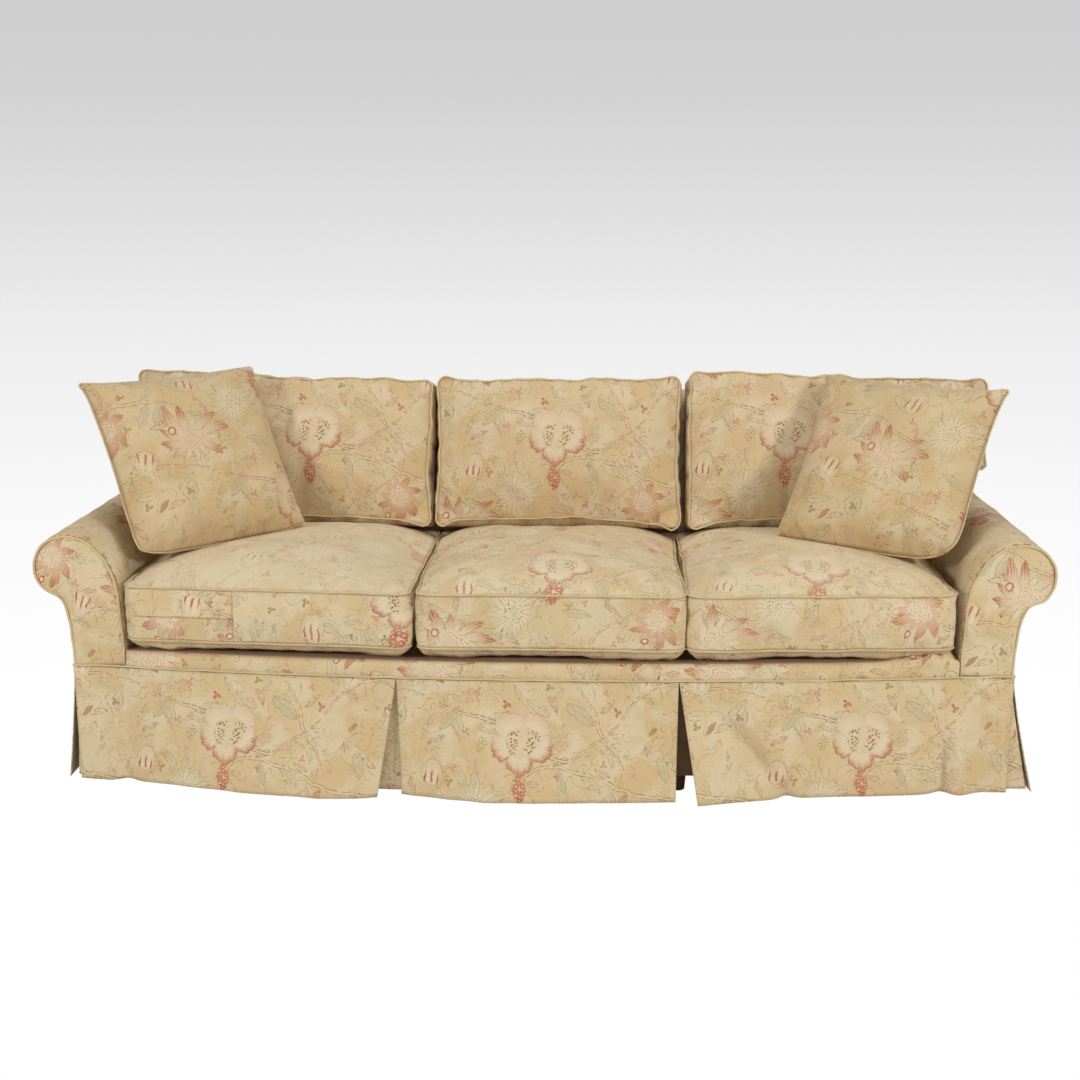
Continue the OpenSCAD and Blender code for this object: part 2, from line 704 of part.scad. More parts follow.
module zip_channel() {
    zip_place() translate([6, -2, -5]) cube([zip_length - 8, slider_thick + 2.6, 10]);
}

module zip_slider_left() {
    color(wire) zip_place() translate([zip_length - 8, 0.3, 0]) {
        translate([-12, 0, -4]) cube([12, slider_thick, 8]);
        translate([-34, 0, -2.5]) cube([22, 1.2, 5]);
    }
}

front_rail();
back_rail();
side_rail(-1);  // side_rail_left
side_rail(1);  // side_rail_right
stretchers();
spring_rail();
corner_blocks();
feet();
arm_stumps(-1);  // arm_stumps_left
arm_stumps(1);  // arm_stumps_right
arm_rails(-1);  // arm_rails_left
arm_rails(1);  // arm_rails_right
back_stiles();
back_top_rail();
back_tack_rail();
seat_springs();
spring_clips();
back_webbing();
deck_pad();
arm_padding(-1);  // arm_padding_left
arm_padding(1);  // arm_padding_right
back_padding();
dust_cover();
deck_cover();
arm_cover(-1);  // arm_cover_left
arm_cover(1);  // arm_cover_right
arm_front(-1);  // arm_front_left
arm_front(1);  // arm_front_right
arm_welt(-1);  // arm_welt_left
arm_welt(1);  // arm_welt_right
back_cover();
skirt_welt();
skirt_front_left();
skirt_front_middle();
skirt_front_right();
side_panel(-1, 32, 14);  // skirt_side_left
side_panel(1, 62, 14);  // skirt_side_right
skirt_back();
pleat_underlays();
seat_cover(0);  // seat_cover_left
seat_cover(1);  // seat_cover_middle
seat_cover(2);  // seat_cover_right
seat_foam(0);  // seat_foam_left
seat_foam(1);  // seat_foam_middle
seat_foam(2);  // seat_foam_right
back_cushion_cover(0);  // back_cushion_cover_left
back_cushion_cover(1);  // back_cushion_cover_middle
back_cushion_cover(2);  // back_cushion_cover_right
back_cushion_fill(0);  // back_cushion_fill_left
back_cushion_fill(1);  // back_cushion_fill_middle
back_cushion_fill(2);  // back_cushion_fill_right
pillow_cover(0);  // pillow_cover_left
pillow_cover(1);  // pillow_cover_right
pillow_fill(0);  // pillow_fill_left
pillow_fill(1);  // pillow_fill_right
zip_slider_left();
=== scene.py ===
# Looks of the skirted sofa: its cloth covers, cushions, pillows, skirt and print.
# Everything is in metres, in the frame of the CAD model: X along the sofa, +Y to its back.
import math

import bmesh
import bpy
import numpy as np
from mathutils import Matrix, Vector
from mathutils.bvhtree import BVHTree


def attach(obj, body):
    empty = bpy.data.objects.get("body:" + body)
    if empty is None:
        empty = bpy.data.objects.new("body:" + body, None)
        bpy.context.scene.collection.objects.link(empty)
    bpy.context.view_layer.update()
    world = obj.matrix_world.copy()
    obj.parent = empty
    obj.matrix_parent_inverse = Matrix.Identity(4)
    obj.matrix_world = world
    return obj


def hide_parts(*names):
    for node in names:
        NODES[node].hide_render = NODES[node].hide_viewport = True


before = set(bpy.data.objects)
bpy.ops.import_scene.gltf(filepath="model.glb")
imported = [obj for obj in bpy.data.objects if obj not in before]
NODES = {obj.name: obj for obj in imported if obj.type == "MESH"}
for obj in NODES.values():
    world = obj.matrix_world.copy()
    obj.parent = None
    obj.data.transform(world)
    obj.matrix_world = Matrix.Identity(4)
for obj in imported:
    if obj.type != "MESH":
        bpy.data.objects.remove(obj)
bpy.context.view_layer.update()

# Sizes shared with the CAD model
HALF_WIDTH = 1.17
INSIDE = 0.967
ARM_FRONT = -0.37
BACK = 0.46
BOW_FRONT = -0.436
BOW_RADIUS = 8.1
ARM_TOP = 0.61
ROLL_RADIUS = 0.079
SHOULDER = 0.1
ROLL_X = HALF_WIDTH - ROLL_RADIUS
TRUNK = ROLL_X - 0.0006
CORNER = TRUNK + 0.0038
SKIRT_TOP = 0.292
HEM = 0.012
DECK_TOP = 0.331
FRAME_TOP = 0.845
BACK_HALF = 1.045
WELT = 0.0022
RAKE = math.radians(16)

# The repeat of the print
REPEAT = (0.66, 0.42)


# Numbers and noise

def ripple(points, wavelength, seed, waves=8):
    """Smooth noise of about -1 to 1 over an array of points."""
    rng = np.random.RandomState(seed)
    k = rng.normal(size=(waves, points.shape[-1]))
    k *= (2 * np.pi / wavelength * rng.uniform(0.6, 1.5, waves) / np.linalg.norm(k, axis=1))[:, None]
    return np.sin(points @ k.T + rng.uniform(0, 2 * np.pi, waves)).sum(-1) / math.sqrt(waves)


def smooth(x, low, high):
    """0 below low, 1 above high, and a soft step between."""
    t = np.clip((x - low) / (high - low), 0, 1)
    return t * t * (3 - 2 * t)


def bell(x, width):
    """A bump of height 1 round 0."""
    return np.exp(-(x / width) ** 2)


def coords(*parts):
    """Points from their coordinates: arrays or numbers that broadcast together."""
    return np.stack(np.broadcast_arrays(*parts), -1)


def with_third(flat, third):
    """Points (x, y) with a third coordinate, an array or one number."""
    return coords(flat[..., 0], flat[..., 1], third)


def unit(vectors):
    """Rows of vectors, each brought to length 1."""
    return vectors / np.linalg.norm(vectors, axis=1)[:, None]


def closed_line(line):
    return np.concatenate([line, line[:1]])


def rings_in(outline, centre, shares):
    """Closed rings that fill an outline in towards its centre."""
    return np.stack([centre + (closed_line(outline) - centre) * share for share in shares])


def spread(count, power=1.4):
    """Values from 0 to 1 that lie closer together at both ends."""
    t = np.linspace(-1, 1, count)
    return (np.sign(t) * (1 - (1 - np.abs(t)) ** power) + 1) / 2


def arc_lengths(line):
    return np.concatenate([[0], np.cumsum(np.linalg.norm(np.diff(line, axis=0), axis=1))])


def resample(line, step):
    """A line of points at an even spacing."""
    s = arc_lengths(line)
    at = np.linspace(0, s[-1], max(int(s[-1] / step), 2) + 1)
    return np.stack([np.interp(at, s, line[:, k]) for k in range(line.shape[1])], 1)


def soften(line, width):
    """An open line of points with its corners rounded over width points."""
    pad = 3 * width
    kernel = np.exp(-0.5 * (np.arange(-pad, pad + 1) / width) ** 2)
    kernel /= kernel.sum()
    full = np.concatenate([2 * line[0] - line[pad:0:-1], line, 2 * line[-1] - line[-2:-pad - 2:-1]])
    return np.stack([np.convolve(full[:, k], kernel, "valid") for k in range(line.shape[1])], 1)


# Meshes

WELD = 0.0003
TUBE_SIDES = 10
CLOTH_FRAMES = 16
COTTON = {"quality": 5, "mass": 0.3, "tension_stiffness": 15, "compression_stiffness": 15,
          "shear_stiffness": 4, "bending_stiffness": 0.15, "use_pressure": True}


class Cloth:
    """Grids of points with print coordinates, joined into one mesh. Each point also has
    seam, how much painted shade darkens its cloth beside seams, under the seat cushions and in
    fold hollows; a second mark, how much paler it is from bleaching and from painted highlight on
    the skirt's ridges; and held, 1 where the cloth simulation may not move it."""

    def __init__(self):
        self.points, self.faces, self.prints, self.marks = [], [], [], []
        self.count = 0

    def grid(self, points, prints, seam=0.0, fade_and_highlight=0.0, held=0.0):
        """Adds rows x columns of points; a closed grid repeats its first column."""
        rows, cols = points.shape[:2]
        index = np.arange(rows * cols).reshape(rows, cols)
        corners = index[:-1, :-1], index[:-1, 1:], index[1:, 1:], index[1:, :-1]
        quads = np.stack(corners, -1).reshape(-1, 4)
        self.points.append(points.reshape(-1, 3))
        self.faces.append(quads + self.count)
        self.prints.append(prints.reshape(-1, 2)[quads])
        marks = [np.broadcast_to(mark, (rows, cols)).reshape(-1) for mark in (seam, fade_and_highlight, held)]
        self.marks.append(np.stack(marks))
        self.count += rows * cols
        return self

    def make(self, name):
        mesh = bpy.data.meshes.new(name)
        mesh.from_pydata(np.concatenate(self.points).tolist(), [], np.concatenate(self.faces).tolist())
        layer = mesh.uv_layers.new(name="print")
        layer.data.foreach_set("uv", np.concatenate(self.prints).reshape(-1))
        for key, values in zip(("seam", "fade_and_highlight", "held"), np.concatenate(self.marks, 1)):
            mesh.attributes.new(key, "FLOAT", "POINT").data.foreach_set("value", values.astype(np.float32))
        work = bmesh.new()
        work.from_mesh(mesh)
        bmesh.ops.remove_doubles(work, verts=work.verts, dist=WELD)
        bmesh.ops.recalc_face_normals(work, faces=work.faces)
        for face in work.faces:
            face.smooth = True
        work.to_mesh(mesh)
        work.free()
        piece = bpy.data.objects.new(name, mesh)
        bpy.context.scene.collection.objects.link(piece)
        return piece


def places(mesh):
    """The points of a mesh as an array."""
    flat = np.empty(len(mesh.vertices) * 3, np.float32)
    mesh.vertices.foreach_get("co", flat)
    return flat.reshape(-1, 3).astype(float)


def put_places(mesh, points):
    mesh.vertices.foreach_set("co", points.reshape(-1).astype(np.float32))
    mesh.update()


def settle(piece, pressure, slack, cap, limit):
    """Fills a padded cover out as cloth under pressure, with slack that wrinkles at its seams.
    No point moves more than cap, and limit(points) keeps them all clear of the neighbours."""
    start = places(piece.data)
    scene = bpy.context.scene
    group = piece.vertex_groups.new(name="held")
    held = piece.data.attributes["held"].data
    group.add([k for k in range(len(held)) if held[k].value > 0.5], 1.0, "REPLACE")
    modifier = piece.modifiers.new("cloth", "CLOTH")
    modifier.point_cache.frame_start = 1
    modifier.point_cache.frame_end = CLOTH_FRAMES
    modifier.collision_settings.use_collision = False
    cloth = modifier.settings
    for key, value in COTTON.items():
        setattr(cloth, key, value)
    cloth.uniform_pressure_force = pressure
    cloth.shrink_min = -slack
    cloth.vertex_group_mass = "held"
    cloth.effector_weights.gravity = 0
    for number in range(1, CLOTH_FRAMES + 1):
        scene.frame_set(number)
    drawn = places(piece.evaluated_get(bpy.context.evaluated_depsgraph_get()).data)
    piece.modifiers.remove(modifier)
    piece.vertex_groups.remove(group)
    scene.frame_set(1)
    move = drawn - start
    far = np.linalg.norm(move, axis=1)[:, None] + 1e-9
    put_places(piece.data, limit(start + move * (cap * np.tanh(far / cap) / far)))


def tube(line, radius, closed, up):
    """Grid of points round a line, and its print coordinates."""
    if closed:
        ahead, behind = np.roll(line, -1, 0), np.roll(line, 1, 0)
    else:
        ahead = np.concatenate([line[1:], 2 * line[-1:] - line[-2:-1]])
        behind = np.concatenate([2 * line[:1] - line[1:2], line[:-1]])
    along = unit(ahead - behind)
    side = unit(np.cross(along, np.asarray(up, float)))
    top = np.cross(side, along)
    angles = np.linspace(0, 2 * np.pi, TUBE_SIDES + 1)[:, None, None]
    rings = line[None] + radius * (np.cos(angles) * side[None] + np.sin(angles) * top[None])
    s = arc_lengths(line)
    prints = coords(s[None, :], angles[:, :, 0] * radius)
    if closed:
        step = np.linalg.norm(line[0] - line[-1])
        rings = np.concatenate([rings, rings[:, :1]], 1)
        prints = np.concatenate([prints, prints[:, :1] + [s[-1] + step, 0]], 1)
    return rings, prints


def dress(piece, body, material):
    """Gives a piece its material and the body that it rides on."""
    piece.data.materials.clear()
    piece.data.materials.append(material)
    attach(piece, body)
    return piece


def welt(name, lines, body, radius=WELT, up=(0.0, 0.0, 1.0)):
    """Piping: one tube for each (line, closed)."""
    cloth = Cloth()
    for line, closed in lines:
        cloth.grid(*tube(line, radius, closed, up))
    return dress(cloth.make(name), body, MATERIALS["welt"])


# Node trees

class Value:
    """An output of a node tree, with arithmetic on it."""

    def __init__(self, net, socket):
        self.net, self.socket = net, socket


def operator(name):
    """Arithmetic on values by the math node of that name."""
    return lambda *values: values[0].net.math(name, *values)


for method, name in {"add": "ADD", "sub": "SUBTRACT", "mul": "MULTIPLY", "truediv": "DIVIDE",
                     "abs": "ABSOLUTE", "pow": "POWER"}.items():
    setattr(Value, f"__{method}__", operator(name))


class Net:
    """Adds nodes to a tree; each method returns an output."""

    def __init__(self, tree):
        self.tree = tree

    def put(self, socket, value):
        if isinstance(value, Value):
            self.tree.links.new(value.socket, socket)
        else:
            socket.default_value = value

    def node(self, kind, settings, *inputs):
        """inputs are (name or number, value) pairs."""
        made = self.tree.nodes.new(kind)
        for key, value in settings.items():
            setattr(made, key, value)
        for key, value in inputs:
            self.put(made.inputs[key], value)
        return made

    def out(self, made, key=0):
        return Value(self, made.outputs[key])

    def math(self, operation, *values):
        return self.out(self.node("ShaderNodeMath", {"operation": operation}, *enumerate(values)))

    def madd(self, value, by, plus):
        """value * by + plus, in one node."""
        return self.math("MULTIPLY_ADD", value, by, plus)

    def vector(self, operation, *values, key=0):
        made = self.node("ShaderNodeVectorMath", {"operation": operation}, *enumerate(values))
        return self.out(made, key)

    def step(self, value, low, high):
        """0 at low, 1 at high, straight between; low may be the larger."""
        return self.out(self.node("ShaderNodeMapRange", {}, (0, value), (1, low), (2, high)))

    def mix(self, a, b, factor):
        made = self.node("ShaderNodeMix", {"data_type": "RGBA"}, (0, factor), (6, a), (7, b))
        return self.out(made, 2)

    def noise(self, place, scale, detail=2.0, key=0, rough=0.5):
        made = self.node("ShaderNodeTexNoise", {}, ("Vector", place), ("Scale", scale),
                         ("Detail", detail), ("Roughness", rough))
        return self.out(made, key)

    def cells(self, place, scale):
        """Voronoi cells in the plane: the node, for its Distance, Color and Position."""
        return self.node("ShaderNodeTexVoronoi", {"voronoi_dimensions": "2D"},
                         ("Vector", place), ("Scale", scale))

    def specks(self, place, scale):
        """How far each point is from the nearest of many random specks."""
        return self.out(self.cells(place, scale), "Distance")

    def object_place(self):
        return self.out(self.node("ShaderNodeTexCoord", {}), "Object")

    def attribute(self, name):
        return self.out(self.node("ShaderNodeAttribute", {"attribute_name": name}), "Fac")

    def split(self, place):
        made = self.node("ShaderNodeSeparateXYZ", {}, (0, place))
        return self.out(made, 0), self.out(made, 1)

    def turned(self, place, angle):
        return self.out(self.node("ShaderNodeVectorRotate", {"rotation_type": "Z_AXIS"},
                                  ("Vector", place), ("Angle", angle)))


def colour(*channels):
    """A colour given in the 0 to 255 of a screen, as the linear values that shaders take."""
    shares = [channel / 255 for channel in channels]
    return (*(c / 12.92 if c <= 0.04045 else ((c + 0.055) / 1.055) ** 2.4 for c in shares), 1.0)


STRAW = colour(228, 204, 159)
PEACH = colour(227, 199, 150)
PALE = colour(238, 219, 182)
HAZE = colour(236, 222, 190)
CREAM = colour(243, 230, 202)
BRICK = colour(198, 88, 60)
ROSE = colour(220, 150, 122)
PINK = colour(236, 192, 166)
OLIVE = colour(160, 138, 82)
BROWN = colour(146, 92, 58)
RUST = colour(174, 102, 66)
BLUE_GREY = colour(215, 208, 176)
SAGE = colour(214, 201, 156)
GROUND_SHADE = colour(204, 184, 134)
THREAD_PALE = colour(250, 240, 218)
THREAD_DARK = colour(160, 128, 82)
WEAVE_SHADE = colour(150, 122, 78)
# Bleached cloth, also used as painted highlight on the skirt's fold ridges
BLEACH_AND_HIGHLIGHT = colour(226, 212, 182)
# Painted shade: the brown that darkens cloth beside seams and welts, under the seat cushions and in fold
# hollows
PAINTED_SHADE_TONE = colour(150, 112, 76)
WELT_PALE = colour(224, 206, 166)
WELT_DARK = colour(210, 188, 142)


# The print: a traditional trailing floral of the builder's own drawing

def around(net, place, centre, angle=0.0):
    """Place seen from the nearest repeat of a motif's centre, turned by angle."""
    half = (REPEAT[0] / 2, REPEAT[1] / 2, 0.0)
    off = net.vector("SUBTRACT", place, (*centre, 0.0))
    near = net.vector("WRAP", off, half, (-half[0], -half[1], 0.0))
    return net.turned(near, angle) if angle else near


def scattered(net, place, scale, shift):
    """Place seen from the nearest of many random spots, turned at random, and that spot's two
    random numbers from 0 to 1."""
    moved = net.vector("ADD", place, (shift, 1.7 * shift, 0.0))
    cell = net.cells(moved, scale)
    near = net.vector("SUBTRACT", moved, net.out(cell, "Position"))
    odds = net.node("ShaderNodeSeparateColor", {}, (0, net.out(cell, "Color")))
    return net.turned(near, net.out(odds, 0) * 40.0), net.out(odds, 1), net.out(odds, 2)


def polar(net, near):
    """x, y, distance and angle."""
    x, y = net.split(near)
    return x, y, net.vector("LENGTH", near, key=1), net.math("ARCTAN2", y, x)


def drawn(net, distance, width=0.001):
    """A thin line of ink, worn away in places."""
    return net.step(abs(distance), width, width * 0.3) * net.wear


def blossom(net, ground, near, size):
    """A scalloped blossom: cream lobes with a red rim below and a heart full of seeds."""
    x, y, r, turn = polar(net, near)
    lobe = abs(net.math("COSINE", net.madd(turn, 2.5, 0.9))) ** 0.5
    ruffle = abs(net.math("SINE", turn * 11.0))
    lobes = net.madd(lobe, 0.36 * size, 0.6 * size)
    outer = net.madd(ruffle, 0.06 * size, lobes)
    edge = r - outer
    strokes = net.math("SINE", turn * 70.0)
    depth = net.madd(strokes, 0.05 * size, edge)
    rim = net.step(depth, -0.28 * size, -0.02 * size) * net.step(y, 0.3 * size, -0.25 * size)
    petals = net.mix(CREAM, BRICK, rim ** 1.4)
    blush = net.step(depth, -0.4 * size, 0.0) * net.step(y, -0.1 * size, 0.6 * size)
    petals = net.mix(petals, PINK, blush * 0.6)
    heart = r - net.madd(lobe, -0.05 * size, 0.55 * size)
    petals = net.mix(petals, PALE, net.step(heart, 0.004, -0.002) * 0.7)
    seeds = net.step(net.specks(near, 135.0), 0.4, 0.22) * net.step(heart, -0.001, -0.005)
    petals = net.mix(petals, BROWN, seeds * net.step(abs(x), 0.06 * size, 0.2 * size))
    petals = net.mix(petals, OLIVE, drawn(net, edge, 0.0011))
    return net.mix(ground, petals, net.step(edge, 0.0012, -0.0004))


def rayed(net, ground, near, size, petals, twist, inner, outer, red, core):
    """A flower of ragged rays with a ruffled heart. red is how strong its outer colour is."""
    _, _, r, turn = polar(net, near)
    count = net.madd(turn, petals / (2 * math.pi), r * twist)
    ray = abs(net.math("FRACT", count) - 0.5)
    odds = net.out(net.node("ShaderNodeTexWhiteNoise", {"noise_dimensions": "1D"},
                            ("W", net.math("FLOOR", count))))
    reach = r / net.madd(odds, 0.42 * size, 0.58 * size)
    gap = ray - net.madd(reach ** 4.0, -0.5, 0.5)
    strokes = net.step(abs(net.math("FRACT", count * 5.0) - 0.5), 0.42, 0.08)
    stroked = net.madd(strokes, 0.6, net.step(reach, 0.5, 0.9) * 0.55)
    shade = net.step(odds, 0.12, 0.38) * net.step(reach, 0.25, 0.8) * stroked
    paint = net.mix(inner, outer, shade * red)
    line = net.step(abs(gap), 0.09, 0.02) * net.step(r, 0.15 * size, 0.3 * size) * net.wear
    paint = net.mix(paint, OLIVE, line * 0.8)
    flower = net.mix(ground, paint, net.step(gap, 0.04, -0.03))
    ruffles = net.math("SINE", net.madd(r, 640.0, net.math("SINE", turn * 9.0) * 2.0))
    heart = net.mix(CREAM, core, net.step(ruffles, 0.1, 0.9) * net.wear * 0.8)
    rim = net.madd(ruffles, 0.002, r)
    return net.mix(flower, heart, net.step(rim, 0.37 * size, 0.31 * size))


def ringed_eye(net, ground, near, at, radius):
    """A red ring with a cream middle."""
    d = net.vector("DISTANCE", near, (*at, 0.0), key=1)
    eye = net.mix(CREAM, BRICK, net.step(abs(d - radius * 0.7), radius * 0.3, radius * 0.1))
    return net.mix(ground, eye, net.step(d, radius * 1.1, radius))


def leaf(net, ground, near, length, width, paint, line=OLIVE):
    """A leaf or bud along x, with a drawn edge, a midrib and veins."""
    x, y = net.split(near)
    side = abs(y)
    edge = side - net.madd((x / length) ** 2.0, -width, width)
    within = net.step(edge, 0.0006, -0.0008)
    veins = net.step(abs(net.math("WRAP", x - side, 0.0028, -0.0028)), 0.001, 0.0002) * 0.6
    lines = net.math("MAXIMUM", veins, net.step(side, 0.0009, 0.0002)) * within
    lines = net.math("MAXIMUM", lines, net.step(abs(edge), 0.0011, 0.0003)) * net.wear
    ground = net.mix(ground, paint, within * 0.7)
    return net.mix(ground, line, lines * net.step(abs(x), length * 1.15, length) * 0.85)


def cluster(net, ground, near, size):
    """A spray of small red florets."""
    x, _, r, _ = polar(net, near)
    bud = net.specks(near, 75.0)
    within = net.step(net.madd(abs(x), 0.8, r), size * 1.05, size * 0.9)
    florets = net.mix(PINK, BRICK, net.step(bud, 0.1, 0.32))
    return net.mix(ground, florets, net.step(bud, 0.62, 0.5) * within)


def stem(net, ground, place, height, swing, phase, across, paint, gap=0.0035):
    """A double line that runs through the repeat and swings from side to side."""
    x, y = net.split(place)
    if across:
        x, y = y, x
    period, drop = (REPEAT[1], REPEAT[0]) if across else REPEAT
    wave = net.math("SINE", net.madd(x, 2 * math.pi / period, phase))
    beat = net.math("SINE", net.madd(x, 4 * math.pi / period, 2.1 * phase))
    curve = net.madd(wave, swing, net.madd(beat, swing * 0.35, height))
    off = abs(net.math("WRAP", y - curve, drop / 2, -drop / 2))
    ground = net.mix(ground, PALE, net.step(off, gap * 1.3, gap) * 0.7)
    return net.mix(ground, paint, drawn(net, off - gap, 0.0015))


def tulip(net, ground, near, size, paint):
    """A crown of pointed petals over a pale bulb."""
    x, y = net.split(near)
    bulb = net.vector("LENGTH", net.vector("MULTIPLY", near, (1.0, 0.75, 1.0)), key=1) - size
    ground = net.mix(ground, HAZE, net.step(bulb, 0.002, -0.004) * 0.8)
    ground = net.mix(ground, OLIVE, drawn(net, bulb) * 0.8)
    points = abs(net.math("SINE", x * (math.pi * 1.5 / size)))
    edge = abs(x) - net.madd(y, -0.35, 0.62 * size)
    top = net.madd(points, 0.8 * size, y * -1.0)
    shape = net.step(edge, 0.001, -0.001) * net.step(top, -0.001, 0.001) * net.step(y, -size, -0.9 * size)
    tone = net.mix(paint, CREAM, net.step(points, 0.35, 0.6))
    return net.mix(ground, tone, shape)


# Curls: how many to the metre, the shift of their scatter, their radius and colour
CURLS = [(10.0, 1.3, 0.021, OLIVE), (13.0, 5.9, 0.013, BROWN), (19.0, 4.4, 0.007, BROWN)]
# Leaves and buds that belong to the stems: place, angle, length and colour
LEAVES = [
    ((0.135, 0.06), 0.7, 0.04, BLUE_GREY),
    ((0.205, 0.01), -0.5, 0.034, HAZE),
    ((-0.165, 0.05), 2.2, 0.038, SAGE),
    ((0.092, -0.092), 1.2, 0.034, BLUE_GREY),
    ((0.302, 0.03), 2.5, 0.016, BRICK),
    ((0.085, 0.16), 0.2, 0.018, BRICK),
    ((-0.3, -0.16), -0.9, 0.036, BLUE_GREY),
]


def foliage(net, ink, place):
    """Pale leaves, curls, sprigs and stippling, scattered behind the flowers."""
    near, odd, even = scattered(net, place, 9.0, 3.1)
    tint = net.mix(HAZE, BLUE_GREY, net.step(odd, 0.5, 0.9) * 0.6)
    ink = leaf(net, ink, near, 0.034, 0.0105, net.mix(tint, SAGE, net.step(even, 0.6, 0.9) * 0.5))

    near, odd, _ = scattered(net, place, 11.0, 7.7)
    ink = leaf(net, ink, near, 0.022, 0.006, net.mix(HAZE, PINK, net.step(odd, 0.5, 0.8) * 0.7), BROWN)

    near, _, _ = scattered(net, place, 8.0, 6.1)
    x, y = net.split(near)
    twig = y - net.madd(net.math("SINE", x * 60.0), 0.007, (x * x) * 6.0)
    fork = abs(y - x * 0.8) + net.step(x, 0.002, -0.002)
    lines = net.math("MAXIMUM", drawn(net, twig), drawn(net, fork, 0.0008))
    ink = net.mix(ink, RUST, lines * net.step(abs(x), 0.045, 0.035) * 0.8)

    for scale, shift, radius, tone in CURLS:
        near, _, even = scattered(net, place, scale, shift)
        _, y, r, turn = polar(net, near)
        arc = drawn(net, net.madd(turn, -0.16 * radius, r - radius))
        ink = net.mix(ink, tone, arc * net.step(even, 0.25, 0.3) * net.step(y, 0.0, 0.3 * radius) * 0.75)

    near, odd, even = scattered(net, place, 7.0, 9.4)
    _, y, r, _ = polar(net, near)
    patch = net.step(net.madd(abs(y), 0.7, r), 0.024, 0.018) * net.step(odd, 0.45, 0.5)
    dots = net.step(net.specks(place, 210.0), 0.42, 0.25) * patch * 0.8
    ink = net.mix(ink, net.mix(ROSE, OLIVE, net.step(even, 0.4, 0.6)), dots)

    near, odd, even = scattered(net, place, 12.0, 2.2)
    _, _, r, turn = polar(net, near)
    lobes = abs(net.math("COSINE", net.madd(odd, 3.0, turn * 1.5)))
    show = net.step(r - lobes * 0.0105, 0.0004, -0.001) * net.step(even, 0.5, 0.54)
    tint = net.mix(ROSE, OLIVE, net.step(odd, 0.35, 0.4))
    return net.mix(ink, net.mix(tint, BRICK, net.step(odd, 0.7, 0.74)), show * 0.85)


def print_group():
    """The whole print as a node group: place in metres to colour."""
    tree = bpy.data.node_groups.new("floral print", "ShaderNodeTree")
    tree.interface.new_socket("Place", in_out="INPUT", socket_type="NodeSocketVector")
    tree.interface.new_socket("Color", in_out="OUTPUT", socket_type="NodeSocketColor")
    net = Net(tree)
    flat = net.out(tree.nodes.new("NodeGroupInput"))
    end = tree.nodes.new("NodeGroupOutput")
    # The drawing is bent by a broad and a fine noise, so that no line in it is exact
    broad, fine = (
        net.vector("MULTIPLY_ADD", net.noise(flat, scale, detail, key=1), (bend, bend, 0.0),
                   (-bend / 2, -bend / 2, 0.0))
        for scale, detail, bend in ((11.0, 1.0, 0.034), (75.0, 2.0, 0.007)))
    place = net.vector("ADD", flat, net.vector("ADD", broad, fine))
    net.wear = net.step(net.noise(flat, 95.0, 2.0), 0.36, 0.52)

    ground = net.mix(STRAW, PALE, net.step(net.noise(flat, 7.0, 3.0), 0.42, 0.6))
    ground = net.mix(ground, PEACH, net.step(net.noise(place, 5.0, 2.0), 0.5, 0.66) * 0.7)
    ground = net.mix(ground, HAZE, net.step(net.noise(place, 13.0, 4.0), 0.5, 0.6) * 0.9)
    shade = net.step(net.noise(place, 17.0, 4.0), 0.54, 0.62)
    shade = shade * net.step(net.noise(place, 160.0, 2.0), 0.4, 0.6)
    ground = net.mix(ground, GROUND_SHADE, shade * 0.6)

    ink = foliage(net, ground, place)
    ink = stem(net, ink, place, -0.12, 0.055, 0.4, False, OLIVE)
    ink = stem(net, ink, place, 0.16, 0.07, 2.2, True, RUST)
    ink = stem(net, ink, place, 0.05, 0.075, 4.1, False, RUST, 0.003)
    for at, angle, length, tint in LEAVES:
        ink = leaf(net, ink, around(net, place, at, angle), length, length * 0.34, tint)
    pale = around(net, place, (-0.105, -0.15))
    ink = rayed(net, ink, pale, 0.076, 23, 14.0, CREAM, BLUE_GREY, 0.9, OLIVE)
    chief = around(net, place, (-0.24, 0.185), 0.6)
    ink = rayed(net, ink, chief, 0.104, 13, 9.0, CREAM, BRICK, 1.0, ROSE)
    ink = ringed_eye(net, ink, chief, (-0.055, 0.0), 0.012)
    ink = blossom(net, ink, around(net, place, (0.0, 0.0)), 0.076)
    ink = cluster(net, ink, around(net, place, (-0.012, -0.105)), 0.036)
    rose = around(net, place, (0.222, -0.165), 2.6)
    ink = rayed(net, ink, rose, 0.076, 10, 13.0, PINK, BRICK, 0.9, ROSE)
    ink = ringed_eye(net, ink, rose, (0.05, 0.03), 0.01)
    ink = tulip(net, ink, around(net, place, (-0.212, -0.078), 0.3), 0.026, BRICK)
    ink = tulip(net, ink, around(net, place, (0.285, 0.14), 3.5), 0.024, BRICK)

    worn = net.madd(net.noise(flat, 26.0, 3.0), 0.9, 0.4)
    faded = net.mix(ground, ink, net.math("MINIMUM", worn, 1.0))
    net.put(end.inputs[0], faded)
    return tree


def surface(name, rough, sheen=0.0):
    """A material with its Principled shader, ready for nodes."""
    material = bpy.data.materials.new(name)
    material.use_nodes = True
    net = Net(material.node_tree)
    shader = material.node_tree.nodes["Principled BSDF"]
    shader.inputs["Roughness"].default_value = rough
    shader.inputs["Sheen Weight"].default_value = sheen
    shader.inputs["Specular IOR Level"].default_value = 0.25
    return material, net, shader


def bump(net, shader, height, strength, distance):
    made = net.node("ShaderNodeBump", {}, ("Height", height), ("Strength", strength),
                    ("Distance", distance))
    net.put(shader.inputs["Normal"], net.out(made))


def weave(net, place, pitch):
    """Height of a plain weave of that pitch with uneven threads."""
    x, y = net.split(place)
    warp = net.math("SINE", x * (2 * math.pi / pitch))
    weft = net.math("SINE", y * (2 * math.pi / pitch))
    slub = net.noise(net.vector("MULTIPLY", place, (60.0, 900.0, 1.0)), 1.0, 1.0)
    return warp * weft + slub * 1.5


